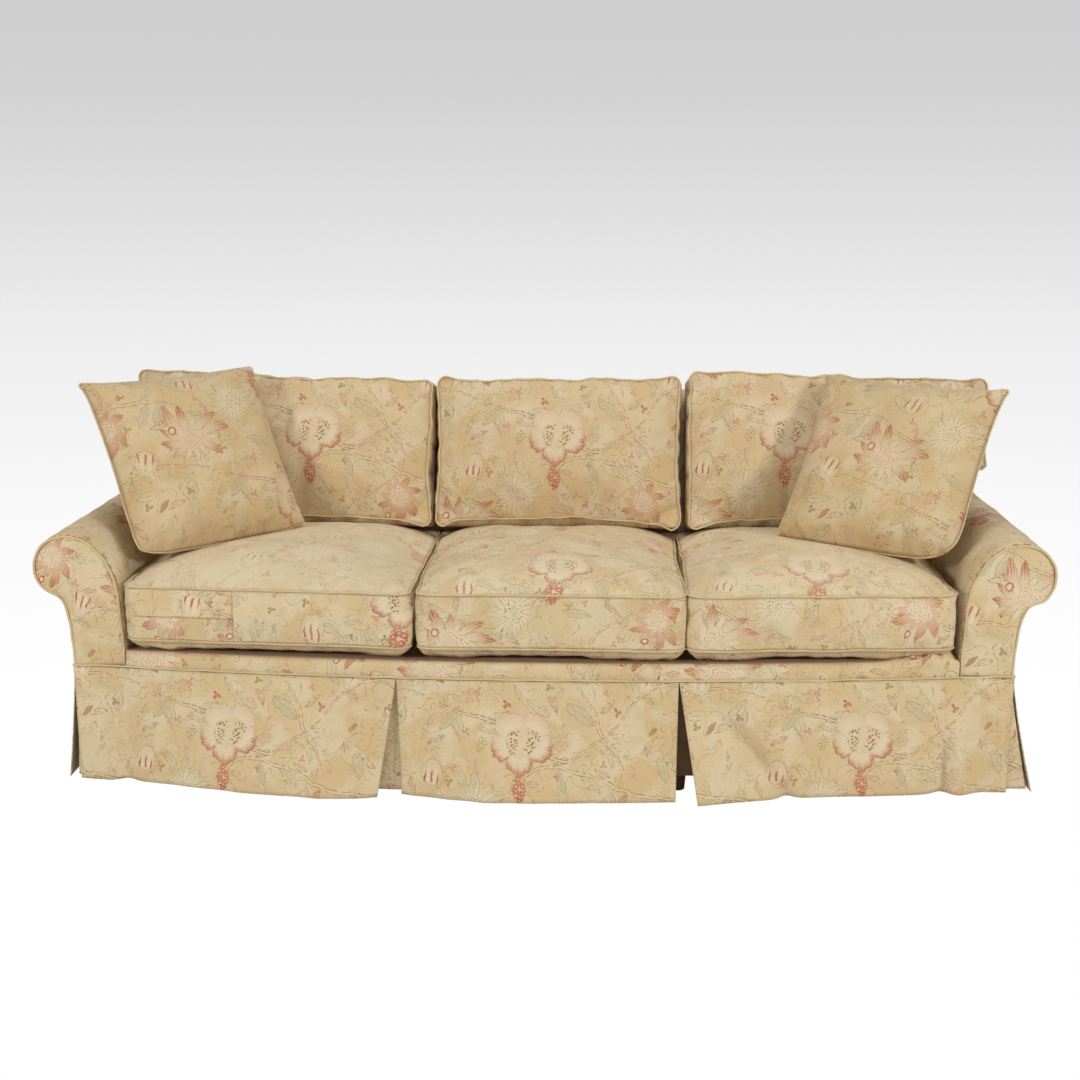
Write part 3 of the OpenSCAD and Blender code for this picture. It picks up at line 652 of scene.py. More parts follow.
def cloth_material(name, group, tone):
    """Printed cotton: the print, a slubby weave and a little sheen; tone multiplies the whole cloth: a
    slight tint on the cover, and painted shade on the darker copies for the back cushions and pillows.
    """
    material, net, shader = surface(name, 0.86, 0.12)
    place = net.out(net.node("ShaderNodeUVMap", {"uv_map": "print"}))
    printed = net.node("ShaderNodeGroup", {"node_tree": group}, (0, place))
    threads = weave(net, place, 0.0016)
    toned = net.vector("MULTIPLY", net.mix(net.out(printed), PALE, 0.04), tone)
    mottle = net.noise(place, 270.0, 2.0)
    toned = net.mix(toned, THREAD_PALE, net.step(mottle, 0.5, 0.25) * 0.14)
    toned = net.mix(toned, THREAD_DARK, net.step(mottle, 0.5, 0.75) * 0.2)
    shade = net.step(threads, 4.0, -2.5)
    woven = net.mix(toned, WEAVE_SHADE, shade * 0.22)
    # The second mark pales the cloth with bleaching and with painted highlight on the skirt's ridges; the
    # seam mark darkens it with painted shade beside seams and welts, under the seat cushions and in fold
    # hollows
    woven = net.mix(woven, BLEACH_AND_HIGHLIGHT, net.attribute("fade_and_highlight") * 0.75)
    painted_shade = net.mix(woven, PAINTED_SHADE_TONE, net.step(net.attribute("seam"), 0.45, 1.3))
    net.put(shader.inputs["Base Color"], painted_shade)
    crumple = net.noise(place, 26.0, 3.0, rough=0.55) * 12.0
    bump(net, shader, threads * 0.5 + crumple, 0.5, 0.0006)
    return material


def welt_material():
    """Piping of the same cloth cut on the bias: mostly ground, with flecks of the print."""
    material, net, shader = surface("welt cloth", 0.86, 0.12)
    place = net.out(net.node("ShaderNodeUVMap", {"uv_map": "print"}))
    ground = net.mix(WELT_PALE, WELT_DARK, net.step(net.noise(place, 14.0), 0.3, 0.6))
    flecked = net.mix(ground, ROSE, net.step(net.noise(place, 26.0, 3.0), 0.62, 0.72) * 0.4)
    net.put(shader.inputs["Base Color"], flecked)
    bump(net, shader, weave(net, place, 0.0014), 0.3, 0.0004)
    return material


def plain_material(name, rough, dark, light, stretch, detail, relief, depth, metal=0.0, sheen=0.0):
    """A material that runs from dark to light with a noise stretched by (x, y, z)."""
    material, net, shader = surface(name, rough, sheen)
    shader.inputs["Metallic"].default_value = metal
    tone = net.noise(net.vector("MULTIPLY", net.object_place(), stretch), 1.0, detail)
    net.put(shader.inputs["Base Color"], net.mix(colour(*dark), colour(*light), tone))
    bump(net, shader, tone, relief, depth)
    return material


GROUP = print_group()
MATERIALS = {
    "cover": cloth_material("cover cloth", GROUP, (1.0, 0.98, 0.94)),
    # The back cushions' and pillows' cloth: the cover cloth darkened by painted shade
    "back": cloth_material("back cushion cloth", GROUP, (0.9, 0.865, 0.83)),
    "pillow": cloth_material("pillow cloth", GROUP, (0.87, 0.81, 0.72)),
    "welt": welt_material(),
    "timber": plain_material("timber", 0.6, (84, 66, 46), (128, 100, 70), (3.0, 40.0, 40.0), 4.0,
                             0.2, 0.001),
    "steel": plain_material("spring steel", 0.35, (120, 122, 124), (165, 167, 168),
                            (90.0, 90.0, 90.0), 2.0, 0.0, 0.001, metal=1.0),
    "wadding": plain_material("wadding", 0.95, (220, 216, 205), (244, 241, 234),
                              (60.0, 60.0, 60.0), 4.0, 0.6, 0.003, sheen=0.2),
    "lining": plain_material("black lining", 0.9, (38, 38, 40), (70, 70, 72),
                             (700.0, 700.0, 700.0), 1.0, 0.3, 0.0005),
}


# Loose cushions

CUSHION_PRESSURE, CUSHION_SLACK, CUSHION_CAP = 3.0, 0.02, 0.012
SEAM_WIDTH = 0.006


class Panel:
    """A cushion's panel as rows from low to high, each between a left and a right edge.
    levels, lefts and rights give those edges; low may slope from low[0] to low[1]. radius
    rounds its corners, pull draws its edges in, and rest draws its low edge up."""

    def __init__(self, levels, lefts, rights, low, radius, pull, rest=0.0):
        self.levels, self.lefts, self.rights = levels, lefts, rights
        self.low, self.radius, self.pull, self.rest = low, radius, pull, rest

    def grid(self, rows, cols):
        """Points of the panel, and how far across and up each is, from -1 to 1."""
        t = spread(rows)[:, None]
        s = 2 * spread(cols)[None, :] - 1
        low, high = self.levels[0], self.levels[-1]
        level = low + (high - low) * t
        left = np.interp(level, self.levels, self.lefts)
        right = np.interp(level, self.levels, self.rights)
        near = np.clip(np.minimum(level - low, high - level), 0, self.radius)
        inset = self.radius - np.sqrt(self.radius ** 2 - (self.radius - near) ** 2)
        side = self.pull * 4 * t * (1 - t) + inset
        x = (left + side) * (1 - s) / 2 + (right - side) * (1 + s) / 2
        y = level + (1 - s ** 2) * (self.rest * (1 - t) ** 4 - self.pull * t ** 4)
        y = y + (self.low[0] * (1 - s) / 2 + self.low[1] * (1 + s) / 2) * (1 - t)
        return coords(x, y), np.broadcast_to(s, x.shape), np.broadcast_to(2 * t - 1, x.shape)


def rim_of(grid):
    """The border of a grid, once round from its first corner along its first row."""
    return np.concatenate([grid[0, :-1], grid[:-1, -1], grid[-1, :0:-1], grid[:0:-1, 0]])


def rim_normals(rim):
    """Directions out of a rim, evened out between neighbours."""
    along = unit(np.roll(rim, -1, 0) - np.roll(rim, 1, 0))
    out = coords(along[:, 1], -along[:, 0])
    for _ in range(3):
        out = unit(np.roll(out, 1, 0) + out + np.roll(out, -1, 0))
    return out


def edge_distance(s, t):
    return np.minimum(1 - np.abs(s), 1 - np.abs(t))


def crown(s, t, power, corner=8.0):
    """Shape of a crown: 1 in the middle, 0 at the edge."""
    gauge = (np.abs(s) ** corner + np.abs(t) ** corner) ** (1 / corner)
    return 1 - np.clip(gauge, 0, 1) ** power


def puckers(panel, s, t, depth, seed):
    """Small gathers that run in from the seams."""
    near = edge_distance(s, t)
    beside = (1 - np.abs(s) < 1 - np.abs(t))[..., None]
    along = np.where(beside, panel[..., 1:2], panel[..., 0:1])
    return depth * np.exp(-near / 0.1) * ripple(along, 0.045, seed) * smooth(near, 0.0, 0.03)


def boxed_cushion(body, panel, half, tops, sags, bulge, lump, place, replaced, prints, seed,
                  rows=56, drape=None, lift=0.0, droop=0.0, fades=(0.0, 0.0), edges=0.0022,
                  kind="cover", under=0.0):
    """A boxed cushion with piping, half thick on either side of its middle. tops is the
    (height, power) of its crown, sags the (depth, rounding) of its other face, bulge how far
    its boxing swells, and lump how uneven the crown is. prints holds the print's offsets on
    the front face, the boxing and the rear face. lift raises the front face's low seam and
    droop lowers its ends; drape(points) bends the finished cushion. fades is how bleached the
    front face and the boxing are, edges how wavy the seams run, kind the material, and under
    how much painted shadow darkens the rear face where it rests."""
    rear, s, t = panel.grid(rows, 64)
    wavy = [ripple(rear, 0.24, seed + k) + 0.5 * ripple(rear, 0.07, seed + 8 + k) for k in (0, 1)]
    border = smooth(np.maximum(np.abs(s), np.abs(t)), 0.6, 1.0)[..., None]
    rear = rear + edges * coords(*wavy) * border
    front = rear.copy()
    front[..., 1] += (lift - (lift + droop) * np.abs(s) ** 5) * smooth(-t, 0.2, 1.0)
    lumps = lump * (ripple(front, 0.34, seed + 2) + 0.45 * ripple(front, 0.13, seed + 3))
    upper = half + tops[0] * crown(s, t, tops[1])
    upper = upper + (lumps + puckers(front, s, t, 0.0022, seed + 4)) * crown(s, t, 6.0)
    width, height = panel.rights[-1] - panel.lefts[-1], panel.levels[-1] - panel.levels[0]
    inward = np.minimum((1 - np.abs(s)) * width / 2, (1 - np.abs(t)) * height / 2)
    round_off = (1 - (1 - np.clip(inward / sags[1], 0, 1)) ** 2.2) ** (1 / 2.2)
    lower = -half - sags[0] * round_off * (1 - 0.6 * np.abs(s * t) ** 8)
    near = edge_distance(s, t) * 0.2
    # Painted shade beside the seams, and painted shadow on the rear face towards where it rests
    seam, held = np.exp(-near / SEAM_WIDTH), near < 1e-6
    painted_shade = np.maximum(seam, under * smooth(inward, 0.012, 0.05))
    cloth = Cloth()
    cloth.grid(with_third(front, upper), front + np.array(prints[0]), seam, fades[0], held)
    cloth.grid(with_third(rear, lower), rear * [-1, 1] + np.array(prints[2]), painted_shade, 0, held)

    rims = rim_of(rear), rim_of(front)
    outs = rim_normals(rims[0]), rim_normals(rims[1])
    loops = [closed_line(rim) for rim in rims]
    out = closed_line(outs[0])
    levels = np.linspace(-1, 1, 15)
    walls = []
    for v in levels:
        line = loops[0] + (loops[1] - loops[0]) * smooth(v, 0.2, 1.0)
        slack = ripple(with_third(line, v * half), 0.07, seed + 5)
        swell = bulge * (1 - v ** 4) + 0.0012 * slack * (1 - v * v)
        walls.append(with_third(line + out * swell[:, None], v * half))
    wall_prints = coords(arc_lengths(loops[0])[None, :] + rear[0, 0, 0], (levels * half)[:, None])
    # Painted shade on the boxing beside its seams
    wall_seam = np.exp(-(1 - np.abs(levels)) * half / SEAM_WIDTH)[:, None]
    wall_held = (np.abs(levels) > 0.999)[:, None]
    cloth.grid(np.stack(walls), wall_prints + np.array(prints[1]), wall_seam, fades[1], wall_held)
    piece = dress(cloth.make(f"{body}_cloth"), body, MATERIALS[kind])

    def limit(points):
        """Keeps the cover beside its neighbours and on what it rests on."""
        left = np.interp(points[:, 1], panel.levels, panel.lefts) - bulge
        right = np.interp(points[:, 1], panel.levels, panel.rights) + bulge
        low = coords(left, panel.levels[0], -half - sags[0] - 0.0005)
        high = coords(right, panel.levels[-1] + 0.004, half + tops[0] + 0.012)
        return np.clip(points, low, high)

    settle(piece, CUSHION_PRESSURE, CUSHION_SLACK, CUSHION_CAP, limit)
    skin = BVHTree.FromObject(piece, bpy.context.evaluated_depsgraph_get())
    lines = [(with_third(rim + side * 0.0014, z + math.copysign(0.0006, z)), True)
             for rim, side, z in zip(rims, outs, (-half, half))]
    piping = welt(f"{body}_cloth_welts", lines, body)
    for made in (piece, piping):
        if drape:
            put_places(made.data, drape(places(made.data)))
        made.data.transform(place)
    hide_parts(*replaced)
    return skin


# Each seat cushion: its left and right edge, its print's shift, how bleached its top and boxing are
SEATS = {
    "left": (-0.958, -0.286, (0.3, 0.02), (0.55, 0.0)),
    "middle": (-0.278, 0.334, (-0.05, -0.1), (0.15, 0.0)),
    "right": (0.342, 0.947, (0.02, -0.12), (0.25, 0.1)),
}
SEAT_REAR = 0.198
SEAT_LOW = 0.3665
SEAT_TOP = 0.4924
SEAT_CROWN = (0.048, 3.0)
SEAT_SAG = (0.0346, 0.046)
# The placket: its ends, and the (height, stand) of each row of its two strips
PLACKET = (-0.935, -0.697)
PLACKET_UPPER = [(0.045, 0.0009), (0.03, 0.0012), (0.015, 0.0018), (0.005, 0.0026), (0.0, 0.0031),
                 (-0.0018, 0.0028), (-0.002, 0.0018), (-0.0014, 0.0006)]
PLACKET_LOWER = [(-0.04, 0.0008), (-0.02, 0.0009), (-0.008, 0.001), (-0.004, 0.001), (0.0, 0.001)]


def seat_front(x):
    return BOW_FRONT + x * x / (2.7 * BOW_RADIUS)


def placket(skin, place, half):
    """The two strips that lap over the zip in the front boxing of the left seat cushion."""
    cloth = Cloth()
    x = np.linspace(*PLACKET, 60)
    upper = [(half - 0.004, 0.0006)] + PLACKET_UPPER
    lower = [(-half + 0.004, 0.0006)] + PLACKET_LOWER
    for rows, shift in ((upper, (0.42, -0.3)), (lower, (0.42, -0.16))):
        points = np.empty((len(rows), len(x), 3))
        for k, (z, proud) in enumerate(rows):
            for j in range(len(x)):
                hit = skin.ray_cast(Vector((x[j], -1.0, z)), Vector((0, 1, 0)))[0]
                ends = min(x[j] - x[0], x[-1] - x[j])
                points[k, j] = (x[j], hit.y - proud * min(1.0, 0.25 + ends / 0.002), z)
        # Painted shadow where the upper strip laps over the lower one, and at the strips' right end
        shadow = np.array([0.9 if -0.007 < z < -0.001 else 0.0 for z, _ in rows])[:, None]
        cloth.grid(points, points[..., [0, 2]] + np.array(shift), np.maximum(shadow, 0.75 * (x > x[-3])))
    piece = dress(cloth.make("zip_placket"), "seat_cushion_left", MATERIALS["cover"])
    piece.data.transform(place)


def seat_cushions():
    half = (SEAT_TOP - SEAT_LOW) / 2
    place = Matrix.Translation((0, 0, SEAT_LOW + half))
    for seed, (side, (left, right, shift, fades)) in enumerate(SEATS.items()):
        base = min(seat_front(left), seat_front(right))
        low = seat_front(left) - base, seat_front(right) - base
        panel = Panel([base, SEAT_REAR], [left] * 2, [right] * 2, low, 0.03, 0.004, 0.002)
        prints = shift, (shift[0], shift[1] + base - half), (0.3, 0.1)
        skin = boxed_cushion(
            f"seat_cushion_{side}", panel, half, SEAT_CROWN, SEAT_SAG, 0.0036, 0.0022, place,
            (f"seat_cover_{side}", f"seat_foam_{side}"), prints, 100 + 17 * seed, fades=fades, under=1.2)
        if side == "left":
            placket(skin, place, half)


# Each back cushion: its edges below and above the ears, its height at both ends, its print's shift
BACKS = {
    "left": ((-0.951, -0.3), (-1.075, -0.3), (0.402, 0.372), (0.6, -0.24)),
    "middle": ((-0.286, 0.345), (-0.286, 0.345), (0.38, 0.383), (-0.03, -0.23)),
    "right": ((0.37, 0.951), (0.37, 1.131), (0.402, 0.384), (-0.62, -0.24)),
}
BACK_LOW = -0.0028
BACK_HALF_THICK = 0.075
BACK_CROWN = (0.042, 2.3)
BACK_SAG = (0.014, 0.12)
EAR_STEP = 0.146
BACK_PLACE = Matrix.Translation((0, 0.157, 0.5158)) @ Matrix.Rotation(math.pi / 2 - RAKE, 4, "X")


def back_cushions():
    for seed, (side, (below, above, highs, shift)) in enumerate(BACKS.items()):
        high = sum(highs) / 2
        levels = [BACK_LOW, EAR_STEP - 0.012, EAR_STEP + 0.012, high]
        lefts, rights = ([low, low, ear, ear] for low, ear in zip(below, above))
        panel = Panel(levels, lefts, rights, (0, 0), 0.02, 0.006)
        middle = sum(above) / 2
        tilt = (highs[1] - highs[0]) / (above[1] - above[0])

        def drape(points):
            up = smooth(points[:, 1], 0.15, high)
            wave = 0.003 * ripple(points[:, :1], 0.18, 40 + seed)
            points[:, 1] += up * (tilt * (points[:, 0] - middle) + wave)
            return points

        boxed_cushion(
            f"back_cushion_{side}", panel, BACK_HALF_THICK, BACK_CROWN, BACK_SAG, 0.006, 0.003, BACK_PLACE,
            (f"back_cushion_cover_{side}", f"back_cushion_fill_{side}"),
            (shift, (0.1, 0.2), (0.2, 0.1)), 300 + 19 * seed, rows=64, drape=drape,
            lift=0.024, droop=0.003, edges=0.003, kind="back")


# Throw pillows

PILLOW_HALF = 0.236
PILLOW_HEIGHT = 0.069
PILLOW_REACH = 0.078
# Each pillow: where it leans; its yaw, lean and spin in degrees; how blunt its low left, low
# right, high left and high right corners are; its print's shift
PILLOWS = {
    "left": ((-0.854, -0.084, 0.7397), (40, -31, -2), (0.024, 0.012, 0.0, 0.01), (-0.21, 0.16)),
    "right": ((0.838, -0.086, 0.7327), (-32, -35, 1), (0.007, 0.036, 0.003, 0.0), (-0.26, 0.2)),
}


def pillows():
    size = PILLOW_HALF
    panel = Panel([-size, size], [-size, -size], [size, size], (0, 0), 0.01, 0.0)
    pull = 0.012 / size
    for seed, (side, (spot, turns, blunts, shift)) in enumerate(PILLOWS.items()):
        flat, s, t = panel.grid(60, 60)
        rest = np.where(t < 0, smooth(-t, 1.0, 0.2), 1.0)
        flat = coords(flat[..., 0] * (1 - pull * np.abs(s) ** 2 * (1 - t ** 2)),
                      flat[..., 1] * (1 - pull * np.abs(t) ** 2 * (1 - s ** 2) * rest))
        low_left, low_right, high_left, high_right = blunts
        blunt = np.where(t < 0, np.where(s < 0, low_left, low_right),
                         np.where(s < 0, high_left, high_right)) * np.abs(s * t) ** 4
        flat = flat - coords(np.sign(s), np.sign(t)) * blunt[..., None]
        full = ((1 - np.abs(s) ** 2.5) * (1 - np.abs(t) ** 2.5)) ** 0.55
        near = edge_distance(s, t)
        lumps = 0.0045 * ripple(flat, 0.2, 510 + seed) * smooth(near, 0.05, 0.4)
        lumps = lumps + puckers(flat, s, t, 0.003, 500 + seed)
        # Painted shade beside the welt
        seam = np.exp(-near * size / SEAM_WIDTH)
        cloth = Cloth()
        for sign in (1, -1):
            height = sign * (0.0015 + PILLOW_HEIGHT * full + lumps * smooth(near, 0, 0.06))
            height = np.where(near <= 1e-6, 0, height)
            cloth.grid(with_third(flat, height), flat * [sign, 1] + np.array(shift), seam, 0.05)
        body = f"pillow_{side}"
        piece = dress(cloth.make(f"pillow_{side}_cloth"), body, MATERIALS["pillow"])
        start = places(piece.data)
        rim = with_third(rim_of(flat), 0.0)
        nearest = [int(np.argmin(((start - point) ** 2).sum(1))) for point in rim]
        reach = np.array([size, size, PILLOW_REACH])
        settle(piece, 3.0, 0.03, 0.01, lambda points: np.clip(points, -reach, reach))
        line = places(piece.data)[nearest]
        line[:, :2] += rim_normals(line[:, :2]) * 0.001
        piping = welt(f"pillow_{side}_welt", [(line, True)], body)
        place = Matrix.Translation(spot)
        for angle, axis in zip((*turns, 90), "ZXYX"):
            place = place @ Matrix.Rotation(math.radians(angle), 4, axis)
        for made in (piece, piping):
            made.data.transform(place)
        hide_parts(f"pillow_cover_{side}", f"pillow_fill_{side}")


# Fixed covers

ARM_MIDDLE = np.array([1.052, 0.44])
ARM_RINGS = np.array([1.0, 0.985, 0.95, 0.88, 0.76, 0.6, 0.42, 0.22, 0.02])
# Painted shade beside the arm's welt, ring by ring
ARM_WELT_SHADE = np.array([1.15, 1.15, 0.5, 0, 0, 0, 0, 0, 0])[:, None]


def arm_outline():
    """The section of the right arm from the deck over the roll to the skirt, as (x, z)."""
    neck = ARM_TOP - ROLL_RADIUS * 1.9
    inner = [(INSIDE, 0.28), (INSIDE, 0.36), (INSIDE + 0.005, ARM_TOP - SHOULDER - 0.05),
             (INSIDE + 0.01, ARM_TOP - SHOULDER - 0.012), (INSIDE + 0.014, ARM_TOP - 0.096),
             (INSIDE + 0.024, ARM_TOP - 0.07)]
    shoulder, roll = (
        [(ROLL_X + radius * math.cos(a), ARM_TOP - radius + radius * math.sin(a))
         for a in np.radians(np.linspace(*angles))]
        for radius, angles in ((SHOULDER, (148, 90, 16)), (ROLL_RADIUS, (86, -48, 26))))
    outer = [(TRUNK + 0.024, neck + 0.008), (TRUNK + 0.009, neck - 0.024),
             (TRUNK + 0.003, neck - 0.062), (TRUNK, neck - 0.1), (TRUNK, SKIRT_TOP)]
    return soften(resample(np.array(inner + shoulder + roll + outer), 0.006), 2)


def arms():
    outline = arm_outline()
    outline = outline[outline[:, 1] >= SKIRT_TOP - 0.0005]
    arcs = arc_lengths(outline)
    along = unit(np.gradient(outline, axis=0))
    out = coords(-along[:, 1], along[:, 0])
    depth = np.linspace(ARM_FRONT, BACK, 90)
    ends = smooth(np.minimum(depth - ARM_FRONT, BACK - depth), 0.0, 0.02)
    rings = rings_in(outline, ARM_MIDDLE, ARM_RINGS)
    grid = with_third(outline[:, None], depth[None, :])
    fall = np.clip((grid[..., 1] - SKIRT_TOP) / 0.03, 0, 1) * (grid[..., 0] > INSIDE + 0.012)
    for seed, side in enumerate((-1, 1)):
        name = "left" if side < 0 else "right"
        pad = np.abs(0.0016 * ripple(grid, 0.25, 600 + seed) + 0.001 * ripple(grid, 0.09, 610 + seed))
        pad = pad * ends * fall
        points = coords(side * (grid[..., 0] + out[:, None, 0] * pad), grid[..., 2],
                        grid[..., 1] + out[:, None, 1] * pad)
        cloth = Cloth().grid(points, coords(arcs[:, None] * side + 0.31, depth[None, :] + 0.02))
        for y, swell, shift in ((ARM_FRONT, -0.005, (-1.35, -0.3)), (BACK, 0.001, (0.2, 0.1))):
            rise = swell * (1 - ARM_RINGS ** 5)
            flat = coords(side * rings[..., 0], y + rise[:, None], rings[..., 1])
            cloth.grid(flat, flat[..., [0, 2]] + np.array(shift) * [side, 1], ARM_WELT_SHADE)
        cover = dress(cloth.make(f"arm_{name}_cloth"), "frame", MATERIALS["cover"])
        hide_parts(f"arm_cover_{name}", f"arm_front_{name}", f"arm_padding_{name}")
        lines = []
        for y, inset in ((ARM_FRONT - 0.0022, 0.0052), (BACK + 0.001, 0.0)):
            within = inset * smooth(arcs / arcs[-1], 0.66, 0.46)
            line = resample(outline + out * (0.0004 - within)[:, None], 0.009)
            line = line + 0.0008 * coords(ripple(line, 0.05, 620 + seed), ripple(line, 0.05, 630 + seed))
            lines.append((coords(side * line[:, 0], y, line[:, 1]), False))
        piping = welt(f"arm_{name}_piping", lines, "frame", 0.0028, up=(0, 1, 0))
        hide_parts(f"arm_welt_{name}")


def back_section():
    """The section of the back, as (y, z): up the raked front, over the top and down behind."""
    front = [(0.2478 + (z - 0.51) * math.tan(RAKE), z) for z in np.linspace(0.336, FRAME_TOP - 0.02, 60)]
    top = [(front[-1][0] + 0.022, FRAME_TOP), (BACK - 0.022, FRAME_TOP)]
    rear = [(BACK, z) for z in np.linspace(FRAME_TOP - 0.022, SKIRT_TOP + 0.002, 70)]
    return np.array(front), np.array(front[-1:] + top + rear[:1]), np.array(rear)


def back_reach(z):
    """Half the width of the back at each height: over the arms it is wider, below their tops
    it meets them."""
    outline = arm_outline()
    inner = outline[:np.argmax(outline[:, 1])]
    return np.minimum(np.interp(z, inner[:, 1], inner[:, 0] - 0.0006, right=BACK_HALF), BACK_HALF)


def back_cover():
    front, top, rear = back_section()
    cloth = Cloth()
    for part, shift in ((front, (0.1, 0.0)), (resample(top, 0.006), (0.1, 0.5)), (rear, (0.0, 0.3))):
        x = np.linspace(-1, 1, 60)[None, :] * back_reach(part[:, 1])[:, None]
        cloth.grid(coords(x, part[:, :1], part[:, 1:]),
                   coords(x, arc_lengths(part)[:, None]) + np.array(shift))
    wing = ARM_TOP - SHOULDER + math.sqrt(SHOULDER ** 2 - (ROLL_X - BACK_HALF) ** 2)
    upper = np.concatenate([front[front[:, 1] > wing], top[1:3], rear[rear[:, 1] > wing]])
    rings = rings_in(upper, upper.mean(0), (1.0, 0.9, 0.6, 0.3, 0.02))
    for side in (-1, 1):
        cloth.grid(coords(side * BACK_HALF, rings[..., 0], rings[..., 1]), rings + [0.3, 0.1])
    cover = dress(cloth.make("back_cloth"), "frame", MATERIALS["cover"])
    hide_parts("back_cover")
    line = resample(upper, 0.008)
    lines = [(coords(side * BACK_HALF, line[:, 0], line[:, 1]), False) for side in (-1, 1)]
    ridge = np.linspace(-BACK_HALF, BACK_HALF, 200)
    lines.append((coords(ridge, BACK - 0.002, FRAME_TOP - 0.016), False))
    welt("back_piping", lines, "frame", up=(0.3, 0.5, 0.2))


def bow(x):
    return BOW_FRONT + x * x / (2 * BOW_RADIUS)


# The deck's cloth in rows: how far in and how high, how heaped at the right arm, how much painted shadow
# darkens it under the seat cushions' fronts
DECK_ROWS = [
    (0.0, SKIRT_TOP + 0.002, 0, 0), (0.0, 0.304, 0, 0), (0.0, 0.314, 0.1, 0),
    (0.0006, 0.322, 0.35, 0), (0.003, 0.3275, 0.7, 0), (0.008, 0.3305, 0.95, 0.4),
    (0.018, DECK_TOP, 1.0, 1.1), (0.03, DECK_TOP, 0.9, 1.6), (0.05, DECK_TOP, 0.6, 1.5),
    (0.12, DECK_TOP, 0, 0.4), (0.35, DECK_TOP, 0, 0), (0.62, DECK_TOP, 0, 0)]
DECK_FRONT_ROWS = 7


def deck():
    """The cloth under the seat cushions, with two folds and a heap at the right arm."""
    x = np.linspace(-INSIDE + 0.001, INSIDE - 0.001, 180)
    bunch = smooth(x, 0.77, 0.9) * smooth(x, 0.966, 0.945)
    points, prints, marks = [], [], []
    run = 0.0
    for k, (inward, z, heaped, painted_shade) in enumerate(DECK_ROWS):
        if k:
            run += math.hypot(inward - DECK_ROWS[k - 1][0], z - DECK_ROWS[k - 1][1])
        share = math.sin(math.pi * k / DECK_FRONT_ROWS) if k < DECK_FRONT_ROWS else 0.0
        up = z - 0.31
        ridge = bell(x - 0.83 - 2.2 * up, 0.018) + bell(x - 0.915 + 0.8 * up, 0.012)
        ridge -= 0.1 * bell(x - 0.872 - 1.2 * up, 0.014)
        hollow = bell(x - 0.862 - 1.8 * up, 0.007) + bell(x - 0.936 + 0.6 * up, 0.006)
        slack = 0.0012 * ripple(coords(x, 2.0 * z), 0.09, 650)
        heap = bunch * heaped
        lift = (0.017 + 0.004 * ripple(coords(x, inward), 0.03, 651)) * heap
        out = share * (0.013 * ridge + slack) + 0.008 * heap
        raised = 0.0007 if 0.0005 < inward < 0.06 else 0.0
        points.append(coords(x, bow(x) + inward - out - raised,
                             z + raised + 0.004 * ridge * share + lift))
        prints.append(coords(x, run + 0.16))
        # Painted shadow under the seat cushions, less on the heap, and painted shade in the folds' hollows
        marks.append(np.maximum(painted_shade * (1 - 0.7 * bunch), 0.8 * hollow * share))
    cloth = Cloth().grid(np.stack(points), np.stack(prints), np.stack(marks))
    cover = dress(cloth.make("deck_cloth"), "frame", MATERIALS["cover"])
    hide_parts("deck_cover")


# Skirt

DROP = SKIRT_TOP - HEM
UNDERLAY_DROP = 0.272


def height_at(t):
    return SKIRT_TOP - 0.0005 - (DROP - 0.0005) * t


def front_line(x):
    """Where the skirt's front hangs from, seen from above."""
    return np.minimum(ARM_FRONT - 0.0008, bow(x) - 0.0008)


def hanging(name, place_of, width, prints, cols=130, node=None, creased=None):
    """A panel of the skirt: place_of(u, t) gives its points for u along it and t down it, and
    creased(u, t) its painted shade in the hollows and painted highlight on the ridges."""
    t, u = np.meshgrid(np.linspace(0, 1, 26), np.linspace(0, 1, cols), indexing="ij")
    grid = coords(u * width, -t * DROP) + np.array(prints)
    # Painted shade in the folds' hollows, and painted highlight on their ridges
    painted_shade, painted_highlight = creased(u, t) if creased else (0.0, 0.0)
    piece = Cloth().grid(place_of(u, t), grid, painted_shade, painted_highlight).make(name)
    thick = piece.modifiers.new("cloth", "SOLIDIFY")
    thick.thickness = 0.0016
    thick.offset = 0.0
    dress(piece, "frame", MATERIALS["cover"])
    if node:
        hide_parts(node)


def folds_of(pairs, u):
    """How far the hem stands out along the panel, from (place, stand in mm) pairs, rounded."""
    fine = np.linspace(0, 1, 400)
    line = np.interp(fine, [p[0] for p in pairs], [p[1] / 1000 for p in pairs])
    return np.interp(u, fine, soften(coords(fine, line), 6)[:, 1])


LEFT_FOLDS = [(0, 3), (0.11, 12), (0.155, -14), (0.2, 8), (0.34, 16), (0.6, 40), (0.82, 50),
              (0.92, 44), (1, 30)]
MIDDLE_FOLDS = [(0, 6), (0.06, 16), (0.3, 46), (0.52, 42), (0.8, 36), (1, 28)]
RIGHT_FOLDS = [(0, 4), (0.16, 6), (0.3, 10), (0.5, 4), (0.68, 9), (0.75, 2), (0.795, -22),
               (0.825, 18), (0.85, 21), (0.91, 3), (1, 2)]
# The right panel's lower left corner is kicked forward along a slanting fold
KICK = 0.046
KICK_SLANT = 0.27
# Each front panel: its ends at the top, its ends at the hem, its folds and its print's shift
FRONT_PANELS = {
    "left": (-CORNER, -0.324, -CORNER, -0.37, LEFT_FOLDS, (0.3, 0.14)),
    "middle": (-0.323, 0.323, -0.316, 0.32, MIDDLE_FOLDS, (0.335, 0.14)),
    "right": (0.324, CORNER, 0.37, CORNER, RIGHT_FOLDS, (0.27, 0.14)),
}
# Each side panel: how far its front and rear end flare, and its print's shift
SIDE_PANELS = {"left": (0.032, 0.014, (0.1, 0.14)), "right": (0.062, 0.014, (0.2, 0.14))}


